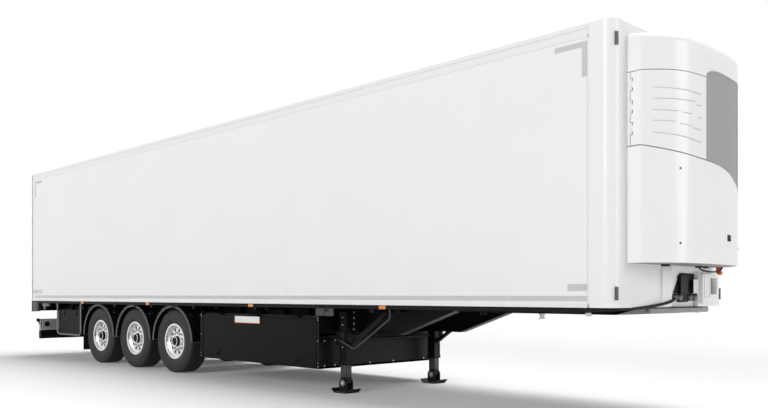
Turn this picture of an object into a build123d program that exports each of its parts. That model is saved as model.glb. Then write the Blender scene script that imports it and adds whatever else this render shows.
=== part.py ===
from build123d import *
import os

# Three-axle refrigerated box semi trailer, parked on its legs and wheels. Millimetres.
# X points forward, Y to the left, Z up. The origin is on the ground, under the middle of the outline.
# A setback is a distance behind the front face of the box.

# Load space
BOX_LENGTH = 13400
BOX_WIDTH = 2600
ROOF_Z = 4000
BODY_Z = 1200
SIDE_WALL = 60
ROOF_PANEL = 95
FLOOR_PANEL = 130
FRONT_WALL = 80
CORNER_RADIUS = 120
CORNER_RETURN = 250
ROOF_RAIL = 130
RAIL_GROOVE_DROP = 45
LOWER_LINE = 40
GROOVE = 8

# Rear frame and doors
FRAME_DEPTH = 120
POST_WIDTH = 60
HEADER = 100
DOOR_THICK = 85
DOOR_GAP = 6
HINGE_BACK = 45
HINGE_INSET = 20
HINGE_HEIGHT = 80
HINGE_COUNT = 4
HINGE_END = 260
HINGE_LUG = 25
STRAP_LENGTH = 190
STRAP_THICK = 8
STRAP_CLEAR = 6
ARM_THICK = 12
PIN_RADIUS = 8
KNUCKLE_RADIUS = 15
PIN_CLEARANCE = 0.5
LUG_GAP = 2
ROD_RADIUS = 13
ROD_INSET = 1
ROD_SEAT = 18
ROD_GROOVE = 46
ROD_PLACES = (0.30, 0.82)
ROD_END_GAP = 30
ROD_CLAMP = 60
ROD_CLAMPS = 3
REAR_REACH = 65

# Chassis
EDGE_RAIL = 50
EDGE_RAIL_WIDTH = 45
EDGE_RAIL_INSET = 12
BEAM_FLANGE = 140
FLANGE_THICK = 14
BEAM_WEB = 10
BEAM_DEPTH = 400
BEAM_FRONT = 300
BEAM_END = 150
NECK_DEPTH = 70
NECK_SETBACK = 2300
NECK_TAPER = 900
MEMBER_DEPTH = 100
MEMBER_WIDTH = 60
NECK_MEMBERS = (700, 1900)
LAST_MEMBER_INSET = 1100
REAR_BEAM_DEPTH = 220
REAR_BEAM_WIDTH = 150
PLATE_THICK = 10
PLATE_FRONT = 260
PLATE_LENGTH = 1950
PLATE_WIDTH = 1500
KINGPIN_SETBACK = 1550
KINGPIN_LENGTH = 84
KINGPIN_NECK_RADIUS = 25.4
KINGPIN_FLANGE_RADIUS = 36.5
KINGPIN_NECK_TOP = 34
KINGPIN_FLANGE = 14
KINGPIN_BASE_RADIUS = 80
KINGPIN_BASE = 12
KINGPIN_CLEARANCE = 1

# Landing legs
LEG_SETBACK = 3950
LEG_SPREAD = 1880
LEG_TUBE = 130
LEG_INNER = 104
LEG_TUBE_Z = 380
LEG_BRACKET = 220
SHOE_LENGTH = 300
SHOE_WIDTH = 260
SHOE_THICK = 14
SHOE_LIP = 45
EAR_THICK = 14
ANKLE_HEIGHT = 130
ANKLE_RADIUS = 34
SHAFT_RADIUS = 20
SHAFT_Z = 720
BRACE_RUN = 750
BRACE_Z = 600
BRACE_DEPTH = 60
BRACE_WIDTH = 50

# Pallet box
PALLET_LEG_GAP = 145
PALLET_GUARD_GAP = 268
PALLET_WIDTH = 2500
PALLET_Z = 320
PALLET_TOP_Z = 1040
PALLET_WALL = 40
LID_THICK = 40
LID_GAP = 6
LID_HINGE_DROP = 16
LID_KNUCKLE = 12
LID_PIN = 6
LID_KNUCKLE_LENGTH = 90
LID_HINGES = 3
LID_RAIL = 40

# Running gear
AXLE_INSET = 2950
AXLE_SPACING = 1310
TRACK = 2040
TYRE_DIAMETER = 1072
TYRE_WIDTH = 385
BEAD_RADIUS = 286
RIM_FLANGE_RADIUS = 302
RIM_WIDTH = 322
RIM_WALL = 14
SIDEWALL_RADIUS = 402
SHOULDER_WIDTH = 356
SHOULDER_RADIUS = 508
TREAD_WIDTH = 306
DISC_OFFSET = 82
DISC_THICK = 22
DISC_RADIUS = 215
DISC_CONE = 60
HUB_LENGTH = 90
HAND_HOLES = 10
HAND_HOLE_RADIUS = 27
HAND_HOLE_CIRCLE = 196
HUB_RADIUS = 118
HUB_CAP_RADIUS = 82
HUB_CAP_REACH = 56
SPINDLE_RADIUS = 45
SPINDLE_CLEARANCE = 1
AXLE_RADIUS = 64
BRAKE_RADIUS = 205
BRAKE_WIDTH = 110
BRAKE_GAP = 12
ARM_REACH = 500
ARM_WIDTH = 100
ARM_DEPTH = 90
PIVOT_Z = 640
HANGER_Z = 560
HANGER_LENGTH = 200
HANGER_PLATE = 16
SPRING_OFFSET = 390
SPRING_RADIUS = 135
SPRING_SEAT = 20
SPRING_ROUND = 18
SPRING_TYRE_GAP = 42.5
GUARD_RADIUS = 600
GUARD_THICK = 12
GUARD_WIDTH = 420
GUARD_EDGE = 30
STAY_RADIUS = 20
STAY_ANGLE = 42
FLAP_Z = 230

# Side storage and rear equipment
TOOLBOX_INSET = 1210
TOOLBOX_LENGTH = 1060
TOOLBOX_DEPTH = 400
TOOLBOX_Z = 530
TOOLBOX_TOP_Z = 1020
TOOLBOX_RIBS = 9
TOOLBOX_RIB = 12
TUBE_RADIUS = 18
TUBE_BEND = 90
TANK_DEPTH = 470
TANK_Z = 540
TANK_TOP_Z = 1010
TANK_ROUND = 110
STRAP_SKIN = 6
CARRIER = 60
CARRIER_Z = 830
CARRIER_SHARES = (0.2, 0.8)
AIR_TANK_RADIUS = 120
AIR_TANK_LENGTH = 900
AIR_TANK_LEAD = 730
AIR_TANK_Y = 300
UNDERRUN_INSET = 200
UNDERRUN_DEPTH = 110
UNDERRUN_Z = 370
UNDERRUN_TOP_Z = 550
UNDERRUN_WIDTH = 2460
UNDERRUN_BRACKET = 90
LAMP_WIDTH = 420
LAMP_HEIGHT = 250
LAMP_DEPTH = 70
LENS_REACH = 24
LENS_MARGIN = 35
BUFFER_HEIGHT = 240
BUFFER_WIDTH = 130
BUFFER_ROUND = 40
MARKER_SHARES = (0.2216, 0.4172, 0.6358, 0.8216)
MARKER_LENGTH = 110
MARKER_HEIGHT = 45
MARKER_REACH = 10
FRONT_MARKER_HEIGHT = 130
FRONT_MARKER_WIDTH = 32
FRONT_MARKER_TURN = 24
FRONT_MARKER_ZS = (1340, 3805)
FRONT_MARKER_REACH = 16

# Cooling unit
UNIT_DEPTH = 450
UNIT_SIDE = 270
UNIT_Z = 1640
UNIT_TOP_Z = 3890
UNIT_STRIP = 140
UNIT_SHOULDER_RUN = 470
UNIT_CROWN = 35
UNIT_TRAY = 30
COWL = 25
CAP_Z = 3510
CAP_ROUND = 110
CAP_WALL = 60
SEAM_Z = 2615
SEAM_CURVE = ((-1.02, 0.167), (-0.24, 0.058), (0.32, -0.022), (0.68, -0.189), (1.02, -0.471))
SEAM_GAP = 12
CAP_GAP = 8
GRILLE_SHARES = {"right": 0.262, "left": 0.70}
GRILLE_TOP_Z = 3600
GRILLE_THICK = 20
GRILLE_RECESS = 10
GRILLE_ROUND = 80
GRILLE_CLEAR = 2
BACK_PLATE = 24
BULKHEAD = 24
UNIT_PIN_X = 42
UNIT_KNUCKLE = 10
UNIT_PIN = 4
UNIT_HINGE_HEIGHT = 60
UNIT_FLANGE = 30
UNIT_HINGE_ZS = (2950, 3160, 3380)
RIB_REACH = 7
RIB_HEIGHT = 20
RIB_ENDS = (
    (-0.93, 0.697, -0.37, 0.683), (-0.93, 0.593, -0.48, 0.597), (-0.45, 0.572, -0.37, 0.568),
    (-0.93, 0.486, -0.72, 0.483), (-0.67, 0.475, -0.54, 0.473), (-0.43, 0.455, -0.37, 0.451),
    (-0.93, 0.389, -0.75, 0.383), (-0.7, 0.366, -0.55, 0.358), (-0.515, 0.345, -0.365, 0.337),
    (-0.93, 0.276, -0.36, 0.216),
)
ENGINE_LENGTH = 270
ENGINE_WIDTH = 430
ENGINE_HEIGHT = 560
RECESS_RIGHT_Y = -60
RECESS_LEFT_Y = 620
RECESS_TOP_Z = 1590
RECESS_DEPTH = 45
COUPLING_RADIUS = 38
COUPLING_REACH = 30
COUPLING_Z = 1300
SERVICE_BOX_WIDTH = 420
SERVICE_BOX_DEPTH = 40
SERVICE_BOX_GAP = 30
SERVICE_BOX_Z = (1230, 1560)
COUPLING_YS = (40, 160, 420, 540)
PANEL_THICK = 40
PANEL_Y = (200, 380)
PANEL_Z = (1250, 1540)

# Places worked out from the sizes above
OVERALL_LENGTH = UNIT_DEPTH + BOX_LENGTH + REAR_REACH
FRONT_X = OVERALL_LENGTH / 2 - UNIT_DEPTH
REAR_X = FRONT_X - BOX_LENGTH
HALF = BOX_WIDTH / 2
INNER_HALF = HALF - SIDE_WALL
FLOOR_Z = BODY_Z + FLOOR_PANEL
RAIL_Z = ROOF_Z - ROOF_RAIL
JOIN_X = FRONT_X - CORNER_RETURN
FRAME_X = REAR_X + FRAME_DEPTH
INNER_FRONT_X = FRONT_X - FRONT_WALL
EDGE_Z = BODY_Z - EDGE_RAIL
EDGE_Y = HALF - EDGE_RAIL_INSET
WHEEL_Y = TRACK / 2
BEAM_Y = WHEEL_Y - TYRE_WIDTH / 2 - SPRING_TYRE_GAP - SPRING_RADIUS
BEAM_Z = BODY_Z - BEAM_DEPTH
NECK_Z = BODY_Z - NECK_DEPTH
HUB_Z = TYRE_DIAMETER / 2
UNIT_WIDTH = BOX_WIDTH - 2 * UNIT_SIDE
SIDES = (("right", -1), ("left", 1))


def setback(distance):
    """Give the X of a place this far behind the front face of the box."""
    return FRONT_X - distance


def fill(x_span, y_span, z_span, mode=Mode.ADD):
    """Fill a box between the given pairs of X, Y and Z."""
    spans = (sorted(x_span), sorted(y_span), sorted(z_span))
    with Locations(tuple((low + high) / 2 for low, high in spans)):
        Box(*(high - low for low, high in spans), mode=mode)


def cross_rod(x, z, y_span, radius, mode=Mode.ADD):
    """Lay a round bar across the trailer."""
    low, high = sorted(y_span)
    with Locations(Location((x, (low + high) / 2, z), (90, 0, 0))):
        Cylinder(radius, high - low, mode=mode)


def long_rod(y, z, x_span, radius, mode=Mode.ADD):
    """Lay a round bar along the trailer."""
    low, high = sorted(x_span)
    with Locations(Location(((low + high) / 2, y, z), (0, 90, 0))):
        Cylinder(radius, high - low, mode=mode)


def upright(x, y, z_span, radius, mode=Mode.ADD):
    """Stand a round bar."""
    low, high = sorted(z_span)
    with Locations((x, y, (low + high) / 2)):
        Cylinder(radius, high - low, mode=mode)


def write(part, label):
    """Name a finished piece and write it to its own file."""
    part.label = label
    export_step(part, f"parts/{label}.step")


os.makedirs("parts", exist_ok=True)
AXLE_NAMES = ("front", "middle", "rear")
AXLE_SETBACK = BOX_LENGTH - AXLE_INSET - (len(AXLE_NAMES) - 1) * AXLE_SPACING
AXLE_SETBACKS = [AXLE_SETBACK + row * AXLE_SPACING for row in range(len(AXLE_NAMES))]
AXLE_XS = [setback(distance) for distance in AXLE_SETBACKS]
PALLET_SETBACK = LEG_SETBACK + LEG_TUBE / 2 + PALLET_LEG_GAP
PALLET_END = AXLE_SETBACK - GUARD_RADIUS - GUARD_THICK - PALLET_GUARD_GAP

# Load space: floor, roof and walls
with BuildPart() as floor:
    fill((FRAME_X, INNER_FRONT_X), (-INNER_HALF, INNER_HALF), (BODY_Z, FLOOR_Z))
write(floor.part, "box_floor")

with BuildPart() as roof:
    fill((FRAME_X, INNER_FRONT_X), (-INNER_HALF, INNER_HALF), (ROOF_Z - ROOF_PANEL, ROOF_Z))
write(roof.part, "box_roof")

for name, side in SIDES:
    with BuildPart() as wall:
        fill((FRAME_X, JOIN_X), (side * INNER_HALF, side * HALF), (BODY_Z, RAIL_Z))
        line_y = (side * (HALF - GROOVE / 2), side * HALF)
        line_z = (BODY_Z + LOWER_LINE, BODY_Z + LOWER_LINE + GROOVE)
        fill((FRAME_X, JOIN_X), line_y, line_z, Mode.SUBTRACT)
    write(wall.part, f"side_wall_{name}")

with BuildPart() as roof_rails:
    groove_z = (ROOF_Z - RAIL_GROOVE_DROP - GROOVE, ROOF_Z - RAIL_GROOVE_DROP)
    for name, side in SIDES:
        fill((FRAME_X, JOIN_X), (side * INNER_HALF, side * HALF), (RAIL_Z, ROOF_Z))
        fill((FRAME_X, JOIN_X), (side * (HALF - GROOVE), side * HALF), groove_z, Mode.SUBTRACT)
write(roof_rails.part, "roof_rails")

# The front wall turns back along both sides and has a pocket for the couplings, low in the middle
with BuildPart() as front_wall:
    with BuildSketch(Plane.XY.offset(BODY_Z)) as plan:
        with Locations(((JOIN_X + FRONT_X) / 2, 0)):
            Rectangle(CORNER_RETURN, BOX_WIDTH)
        fillet(plan.vertices().group_by(Axis.X)[-1], CORNER_RADIUS)
        with Locations(((JOIN_X + INNER_FRONT_X) / 2, 0)):
            Rectangle(CORNER_RETURN - FRONT_WALL, 2 * INNER_HALF, mode=Mode.SUBTRACT)
    extrude(amount=ROOF_Z - BODY_Z)
    pocket = (FRONT_X - RECESS_DEPTH, FRONT_X)
    fill(pocket, (RECESS_RIGHT_Y, RECESS_LEFT_Y), (BODY_Z, RECESS_TOP_Z), Mode.SUBTRACT)
write(front_wall.part, "front_wall")

# Rear frame: a portal with the fixed half of each door hinge
DOOR_OUTER_Y = HALF - POST_WIDTH - DOOR_GAP
DOOR_Z = FLOOR_Z + DOOR_GAP
DOOR_TOP_Z = ROOF_Z - HEADER - DOOR_GAP
HINGE_X = REAR_X - HINGE_BACK
HINGE_Y = HALF - HINGE_INSET
HINGE_STEP = (DOOR_TOP_Z - DOOR_Z - 2 * HINGE_END) / (HINGE_COUNT - 1)
HINGE_ZS = [DOOR_Z + HINGE_END + step * HINGE_STEP for step in range(HINGE_COUNT)]

with BuildPart() as rear_frame:
    fill((REAR_X, FRAME_X), (-HALF, HALF), (BODY_Z, ROOF_Z))
    inner = HALF - POST_WIDTH
    fill((REAR_X, FRAME_X), (-inner, inner), (FLOOR_Z, ROOF_Z - HEADER), Mode.SUBTRACT)
    lug_start = HINGE_HEIGHT / 2 + LUG_GAP
    for name, side in SIDES:
        lug_y = (side * (HINGE_Y - KNUCKLE_RADIUS), side * (HINGE_Y + KNUCKLE_RADIUS))
        for z in HINGE_ZS:
            for end in (-1, 1):
                lug = (z + end * lug_start, z + end * (lug_start + HINGE_LUG))
                fill((HINGE_X, REAR_X), lug_y, lug)
                upright(HINGE_X, side * HINGE_Y, lug, KNUCKLE_RADIUS)
            upright(HINGE_X, side * HINGE_Y, (z - lug_start, z + lug_start), PIN_RADIUS)
write(rear_frame.part, "rear_frame")

# Rear doors: a leaf with two grooves for its lock rods, and the moving half of its hinges
for name, side in SIDES:
    with BuildPart() as door:
        leaf_y = (side * DOOR_GAP / 2, side * DOOR_OUTER_Y)
        fill((REAR_X, REAR_X + DOOR_THICK), leaf_y, (DOOR_Z, DOOR_TOP_Z))
        for place in ROD_PLACES:
            rod_y = side * place * DOOR_OUTER_Y
            groove_y = (rod_y - ROD_GROOVE / 2, rod_y + ROD_GROOVE / 2)
            fill((REAR_X, REAR_X + ROD_SEAT), groove_y, (DOOR_Z, DOOR_TOP_Z), Mode.SUBTRACT)
        for z in HINGE_ZS:
            strap_z = (z - HINGE_HEIGHT / 2, z + HINGE_HEIGHT / 2)
            strap_y = (side * (DOOR_OUTER_Y - STRAP_LENGTH), side * (DOOR_OUTER_Y - STRAP_THICK))
            fill((REAR_X - STRAP_THICK, REAR_X), strap_y, strap_z)
            arm_x = (REAR_X - STRAP_CLEAR - ARM_THICK, REAR_X - STRAP_CLEAR)
            fill(arm_x, (side * (DOOR_OUTER_Y - 2 * ARM_THICK), side * HINGE_Y), strap_z)
            fill((HINGE_X, arm_x[1]), (side * (HINGE_Y - KNUCKLE_RADIUS), side * HINGE_Y), strap_z)
            upright(HINGE_X, side * HINGE_Y, strap_z, KNUCKLE_RADIUS)
            upright(HINGE_X, side * HINGE_Y, strap_z, PIN_RADIUS + PIN_CLEARANCE, Mode.SUBTRACT)
    write(door.part, f"rear_door_{name}")

    # Each rod stands in its groove on clamps
    with BuildPart() as rods:
        rod_x = REAR_X + ROD_INSET
        rod_z = (DOOR_Z + ROD_END_GAP, DOOR_TOP_Z - ROD_END_GAP)
        for place in ROD_PLACES:
            rod_y = side * place * DOOR_OUTER_Y
            upright(rod_x, rod_y, rod_z, ROD_RADIUS)
            clamp_step = (rod_z[1] - rod_z[0]) / (ROD_CLAMPS + 1)
            for row in range(1, ROD_CLAMPS + 1):
                clamp_z = rod_z[0] + row * clamp_step
                clamp = (clamp_z - ROD_CLAMP / 2, clamp_z + ROD_CLAMP / 2)
                fill((rod_x, REAR_X + ROD_SEAT), (rod_y - ROD_RADIUS, rod_y + ROD_RADIUS), clamp)
    write(rods.part, f"lock_rods_{name}")

# Chassis: each main beam is a web between two flanges, shallow at the neck and deep behind it
with BuildPart() as main_beams:
    front_x, rear_x = setback(BEAM_FRONT), REAR_X + BEAM_END
    neck_x, deep_x = setback(NECK_SETBACK), setback(NECK_SETBACK + NECK_TAPER)
    with BuildSketch(Plane.XZ) as web:
        with BuildLine():
            Polyline(
                (front_x, BODY_Z), (front_x, NECK_Z), (neck_x, NECK_Z), (deep_x, BEAM_Z), (rear_x, BEAM_Z),
                (rear_x, BODY_Z), close=True,
            )
        make_face()
    extrude(amount=BEAM_FLANGE / 2, both=True)
    inner_z = BODY_Z - FLANGE_THICK
    with BuildSketch(Plane.XZ) as hollow:
        with BuildLine():
            Polyline(
                (front_x, inner_z), (front_x, NECK_Z + FLANGE_THICK), (neck_x, NECK_Z + FLANGE_THICK),
                (deep_x, BEAM_Z + FLANGE_THICK), (rear_x, BEAM_Z + FLANGE_THICK), (rear_x, inner_z),
                close=True,
            )
        make_face()
    for face in (-1, 1):
        channel = extrude(hollow.sketch, amount=(BEAM_FLANGE - BEAM_WEB) / 4, both=True, mode=Mode.PRIVATE)
        with Locations((0, face * (BEAM_FLANGE + BEAM_WEB) / 4, 0)):
            add(channel, mode=Mode.SUBTRACT)
beam = main_beams.part
with BuildPart() as beam_pair:
    for name, side in SIDES:
        with Locations((0, side * BEAM_Y, 0)):
            add(beam)
    for axle_x in AXLE_XS:
        for name, side in SIDES:
            for face in (-1, 1):
                inner_y = side * BEAM_Y + face * ARM_WIDTH / 2
                hanger_x = axle_x + ARM_REACH
                with BuildSketch(Plane.XZ.offset(-inner_y)):
                    with BuildLine():
                        Polyline(
                            (hanger_x - HANGER_LENGTH / 2, BEAM_Z), (hanger_x + HANGER_LENGTH / 2, BEAM_Z),
                            (hanger_x + ARM_DEPTH / 2, HANGER_Z), (hanger_x - ARM_DEPTH / 2, HANGER_Z),
                            close=True,
                        )
                    make_face()
                extrude(amount=-face * HANGER_PLATE)
write(beam_pair.part, "main_beams")

# Cross members: a middle piece between the webs and an outrigger on each side, at each setback
MEMBER_SETBACKS = [
    *NECK_MEMBERS, LEG_SETBACK - BRACE_RUN, LEG_SETBACK, (PALLET_SETBACK + PALLET_END) / 2,
    *(distance - AXLE_SPACING / 2 for distance in AXLE_SETBACKS), AXLE_SETBACKS[-1] + AXLE_SPACING / 2,
    BOX_LENGTH - LAST_MEMBER_INSET,
]
WEB_Y = BEAM_Y + BEAM_WEB / 2
MIDDLE_Y = BEAM_Y - BEAM_WEB / 2
RAIL_INNER_Y = EDGE_Y - EDGE_RAIL_WIDTH
with BuildPart() as members:
    member_top = BODY_Z - FLANGE_THICK
    for distance in MEMBER_SETBACKS:
        x_span = (setback(distance) - MEMBER_WIDTH / 2, setback(distance) + MEMBER_WIDTH / 2)
        depth = NECK_DEPTH - FLANGE_THICK if distance < NECK_SETBACK else MEMBER_DEPTH
        fill(x_span, (-MIDDLE_Y, MIDDLE_Y), (BODY_Z - depth, member_top))
        for name, side in SIDES:
            fill(x_span, (side * WEB_Y, side * RAIL_INNER_Y), (BODY_Z - depth, member_top))
write(members.part, "cross_members")

# Edge rails under the body, joined at the rear by the beam that carries the buffers
with BuildPart() as edge_rails:
    for name, side in SIDES:
        fill((REAR_X + REAR_BEAM_WIDTH, JOIN_X), (side * RAIL_INNER_Y, side * EDGE_Y), (EDGE_Z, BODY_Z))
    fill((REAR_X, REAR_X + REAR_BEAM_WIDTH), (-EDGE_Y, EDGE_Y), (BODY_Z - REAR_BEAM_DEPTH, BODY_Z))
write(edge_rails.part, "edge_rails")

# Coupler plate with a nose that ramps up at its front; the kingpin hangs through it from its base
PLATE_Z = NECK_Z - PLATE_THICK
KINGPIN_X = setback(KINGPIN_SETBACK)
with BuildPart() as coupler_plate:
    nose_x, plate_x, end_x = setback(0), setback(PLATE_FRONT), setback(PLATE_FRONT + PLATE_LENGTH)
    with BuildSketch(Plane.XZ):
        with BuildLine():
            Polyline(
                (nose_x, BODY_Z), (nose_x, BODY_Z - PLATE_THICK), (plate_x, PLATE_Z), (end_x, PLATE_Z),
                (end_x, NECK_Z), (plate_x, NECK_Z), close=True,
            )
        make_face()
    extrude(amount=PLATE_WIDTH / 2, both=True)
    hole_radius = KINGPIN_FLANGE_RADIUS + KINGPIN_CLEARANCE
    upright(KINGPIN_X, 0, (PLATE_Z, NECK_Z), hole_radius, Mode.SUBTRACT)
write(coupler_plate.part, "coupler_plate")

with BuildPart() as kingpin:
    bottom_z = PLATE_Z - KINGPIN_LENGTH
    upright(KINGPIN_X, 0, (NECK_Z, NECK_Z + KINGPIN_BASE), KINGPIN_BASE_RADIUS)
    upright(KINGPIN_X, 0, (bottom_z + KINGPIN_NECK_TOP + KINGPIN_FLANGE, NECK_Z), KINGPIN_FLANGE_RADIUS)
    upright(KINGPIN_X, 0, (bottom_z, NECK_Z), KINGPIN_NECK_RADIUS)
    upright(KINGPIN_X, 0, (bottom_z, bottom_z + KINGPIN_FLANGE), KINGPIN_FLANGE_RADIUS)
write(kingpin.part, "kingpin")

# Landing legs: an outer tube on a bracket, an inner tube, and a shoe on its ankle
LEG_X = setback(LEG_SETBACK)
LEG_Y = LEG_SPREAD / 2
with BuildPart() as legs:
    for name, side in SIDES:
        leg_y = side * LEG_Y
        with Locations((LEG_X, leg_y, (LEG_TUBE_Z + BODY_Z - MEMBER_DEPTH) / 2)):
            Box(LEG_TUBE, LEG_TUBE, BODY_Z - MEMBER_DEPTH - LEG_TUBE_Z)
        with Locations((LEG_X, leg_y, (ANKLE_HEIGHT + LEG_TUBE_Z) / 2)):
            Box(LEG_INNER, LEG_INNER, LEG_TUBE_Z - ANKLE_HEIGHT)
        bracket_x = (LEG_X - LEG_BRACKET / 2, LEG_X + LEG_BRACKET / 2)
        bracket_y = (side * (BEAM_Y + BEAM_FLANGE / 2), side * (LEG_Y - LEG_TUBE / 2))
        fill(bracket_x, bracket_y, (BEAM_Z, BODY_Z - MEMBER_DEPTH))
        cross_rod(LEG_X, ANKLE_HEIGHT, (leg_y - LEG_INNER / 2, leg_y + LEG_INNER / 2), ANKLE_RADIUS)
        for face in (-1, 1):
            ear_y = (leg_y + face * LEG_INNER / 2, leg_y + face * (LEG_INNER / 2 + EAR_THICK))
            fill((LEG_X - 2 * ANKLE_RADIUS, LEG_X + 2 * ANKLE_RADIUS), ear_y, (SHOE_THICK, ANKLE_HEIGHT))
            cross_rod(LEG_X, ANKLE_HEIGHT, ear_y, 2 * ANKLE_RADIUS)
        with BuildSketch(Plane.XZ.offset(-leg_y)):
            with BuildLine():
                toe, sole = SHOE_LENGTH / 2, SHOE_LENGTH / 2 - SHOE_LIP
                Polyline(
                    (LEG_X - toe, SHOE_LIP), (LEG_X - sole, 0), (LEG_X + sole, 0), (LEG_X + toe, SHOE_LIP),
                    (LEG_X + toe, SHOE_LIP + SHOE_THICK), (LEG_X + sole, SHOE_THICK),
                    (LEG_X - sole, SHOE_THICK), (LEG_X - toe, SHOE_LIP + SHOE_THICK), close=True,
                )
            make_face()
        extrude(amount=SHOE_WIDTH / 2, both=True)
write(legs.part, "landing_legs")

# Braces run forward from each leg to a cross member; a shaft joins the two legs
with BuildPart() as braces:
    top_x, top_z = LEG_X + BRACE_RUN, BODY_Z - MEMBER_DEPTH
    foot_x = LEG_X + LEG_TUBE / 2
    for name, side in SIDES:
        with BuildSketch(Plane.XZ.offset(-side * LEG_Y)):
            with BuildLine():
                Polyline(
                    (foot_x, BRACE_Z), (foot_x, BRACE_Z + BRACE_DEPTH), (top_x - MEMBER_WIDTH / 2, top_z),
                    (top_x + MEMBER_WIDTH / 2, top_z), close=True,
                )
            make_face()
        extrude(amount=BRACE_WIDTH / 2, both=True)
    cross_rod(LEG_X, SHAFT_Z, (-LEG_Y + LEG_TUBE / 2, LEG_Y - LEG_TUBE / 2), SHAFT_RADIUS)
write(braces.part, "leg_braces")

# Pallet box: floor, end walls notched under the beams, and a hinge rail over each lid
PALLET_X = (setback(PALLET_END), setback(PALLET_SETBACK))
PALLET_Y = PALLET_WIDTH / 2
INSIDE_X = (PALLET_X[0] + PALLET_WALL, PALLET_X[1] - PALLET_WALL)
LID_INNER_Y = PALLET_Y - LID_THICK - LID_GAP
LID_AXIS_Z = PALLET_TOP_Z - LID_HINGE_DROP
LID_TOP_Z = LID_AXIS_Z - LID_KNUCKLE - LID_GAP
HINGE_PITCH = (INSIDE_X[1] - INSIDE_X[0]) / LID_HINGES
HINGE_XS = [INSIDE_X[0] + (row + 0.5) * HINGE_PITCH for row in range(LID_HINGES)]
with BuildPart() as pallet_floor:
    fill(INSIDE_X, (-LID_INNER_Y, LID_INNER_Y), (PALLET_Z, PALLET_Z + PALLET_WALL))
write(pallet_floor.part, "pallet_floor")

with BuildPart() as pallet_frame:
    for outer_x, inner_x in ((PALLET_X[0], INSIDE_X[0]), (PALLET_X[1], INSIDE_X[1])):
        fill((outer_x, inner_x), (-PALLET_Y, PALLET_Y), (PALLET_Z, PALLET_TOP_Z))
        for name, side in SIDES:
            notch_y = (side * (BEAM_Y - BEAM_FLANGE / 2), side * (BEAM_Y + BEAM_FLANGE / 2))
            fill((outer_x, inner_x), notch_y, (BEAM_Z, PALLET_TOP_Z), Mode.SUBTRACT)
    lug_half = LID_KNUCKLE_LENGTH / 2 + LUG_GAP
    for name, side in SIDES:
        rail_y = (side * (LID_INNER_Y - LID_RAIL), side * LID_INNER_Y)
        lug_y = (side * LID_INNER_Y, side * PALLET_Y)
        lug_z = (LID_AXIS_Z - LID_KNUCKLE, LID_AXIS_Z + LID_KNUCKLE)
        fill(INSIDE_X, rail_y, (PALLET_TOP_Z - LID_RAIL, PALLET_TOP_Z))
        for x in HINGE_XS:
            for end in (-1, 1):
                lug_x = (x + end * lug_half, x + end * (lug_half + HINGE_LUG))
                fill(lug_x, lug_y, lug_z)
                long_rod(side * PALLET_Y, LID_AXIS_Z, lug_x, LID_KNUCKLE)
            long_rod(side * PALLET_Y, LID_AXIS_Z, (x - lug_half, x + lug_half), LID_PIN)
write(pallet_frame.part, "pallet_frame")

for name, side in SIDES:
    with BuildPart() as lid:
        lid_x = (INSIDE_X[0] + LID_GAP, INSIDE_X[1] - LID_GAP)
        fill(lid_x, (side * (PALLET_Y - LID_THICK), side * PALLET_Y), (PALLET_Z, LID_TOP_Z))
        for x in HINGE_XS:
            knuckle_x = (x - LID_KNUCKLE_LENGTH / 2, x + LID_KNUCKLE_LENGTH / 2)
            fill(knuckle_x, (side * (PALLET_Y - LID_KNUCKLE), side * PALLET_Y), (LID_TOP_Z, LID_AXIS_Z))
            long_rod(side * PALLET_Y, LID_AXIS_Z, knuckle_x, LID_KNUCKLE)
            long_rod(side * PALLET_Y, LID_AXIS_Z, knuckle_x, LID_PIN + PIN_CLEARANCE, Mode.SUBTRACT)
    write(lid.part, f"pallet_lid_{name}")

# Running gear, axle by axle. Each trailing arm hangs between two plates and carries an air spring
HUB_Y = WHEEL_Y + DISC_OFFSET - HUB_LENGTH
BRAKE_Y = HUB_Y - BRAKE_GAP
ARM_Z = HUB_Z - ARM_DEPTH / 2
ARM_END = SPRING_OFFSET + SPRING_RADIUS

with BuildPart() as air_springs:
    seat_z = ARM_Z + ARM_DEPTH
    for axle_x in AXLE_XS:
        for name, side in SIDES:
            spring = (axle_x - SPRING_OFFSET, side * BEAM_Y)
            upright(*spring, (seat_z, BEAM_Z), SPRING_RADIUS - SPRING_SEAT)
            upright(*spring, (seat_z + SPRING_SEAT, BEAM_Z - SPRING_SEAT), SPRING_RADIUS)
    rings = air_springs.edges().filter_by(GeomType.CIRCLE)
    fillet(rings.group_by(SortBy.RADIUS)[-1], SPRING_ROUND)
write(air_springs.part, "air_springs")

# The wheels' sections are drawn from the wheel's middle: along the axle, then out from it
RIM_EDGE = RIM_WIDTH / 2
RIM_LIP = RIM_EDGE - RIM_WALL
RIM_INNER = BEAD_RADIUS - RIM_WALL
TYRE_RADIUS = TYRE_DIAMETER / 2
DISC_FACE = DISC_OFFSET + DISC_THICK

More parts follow.
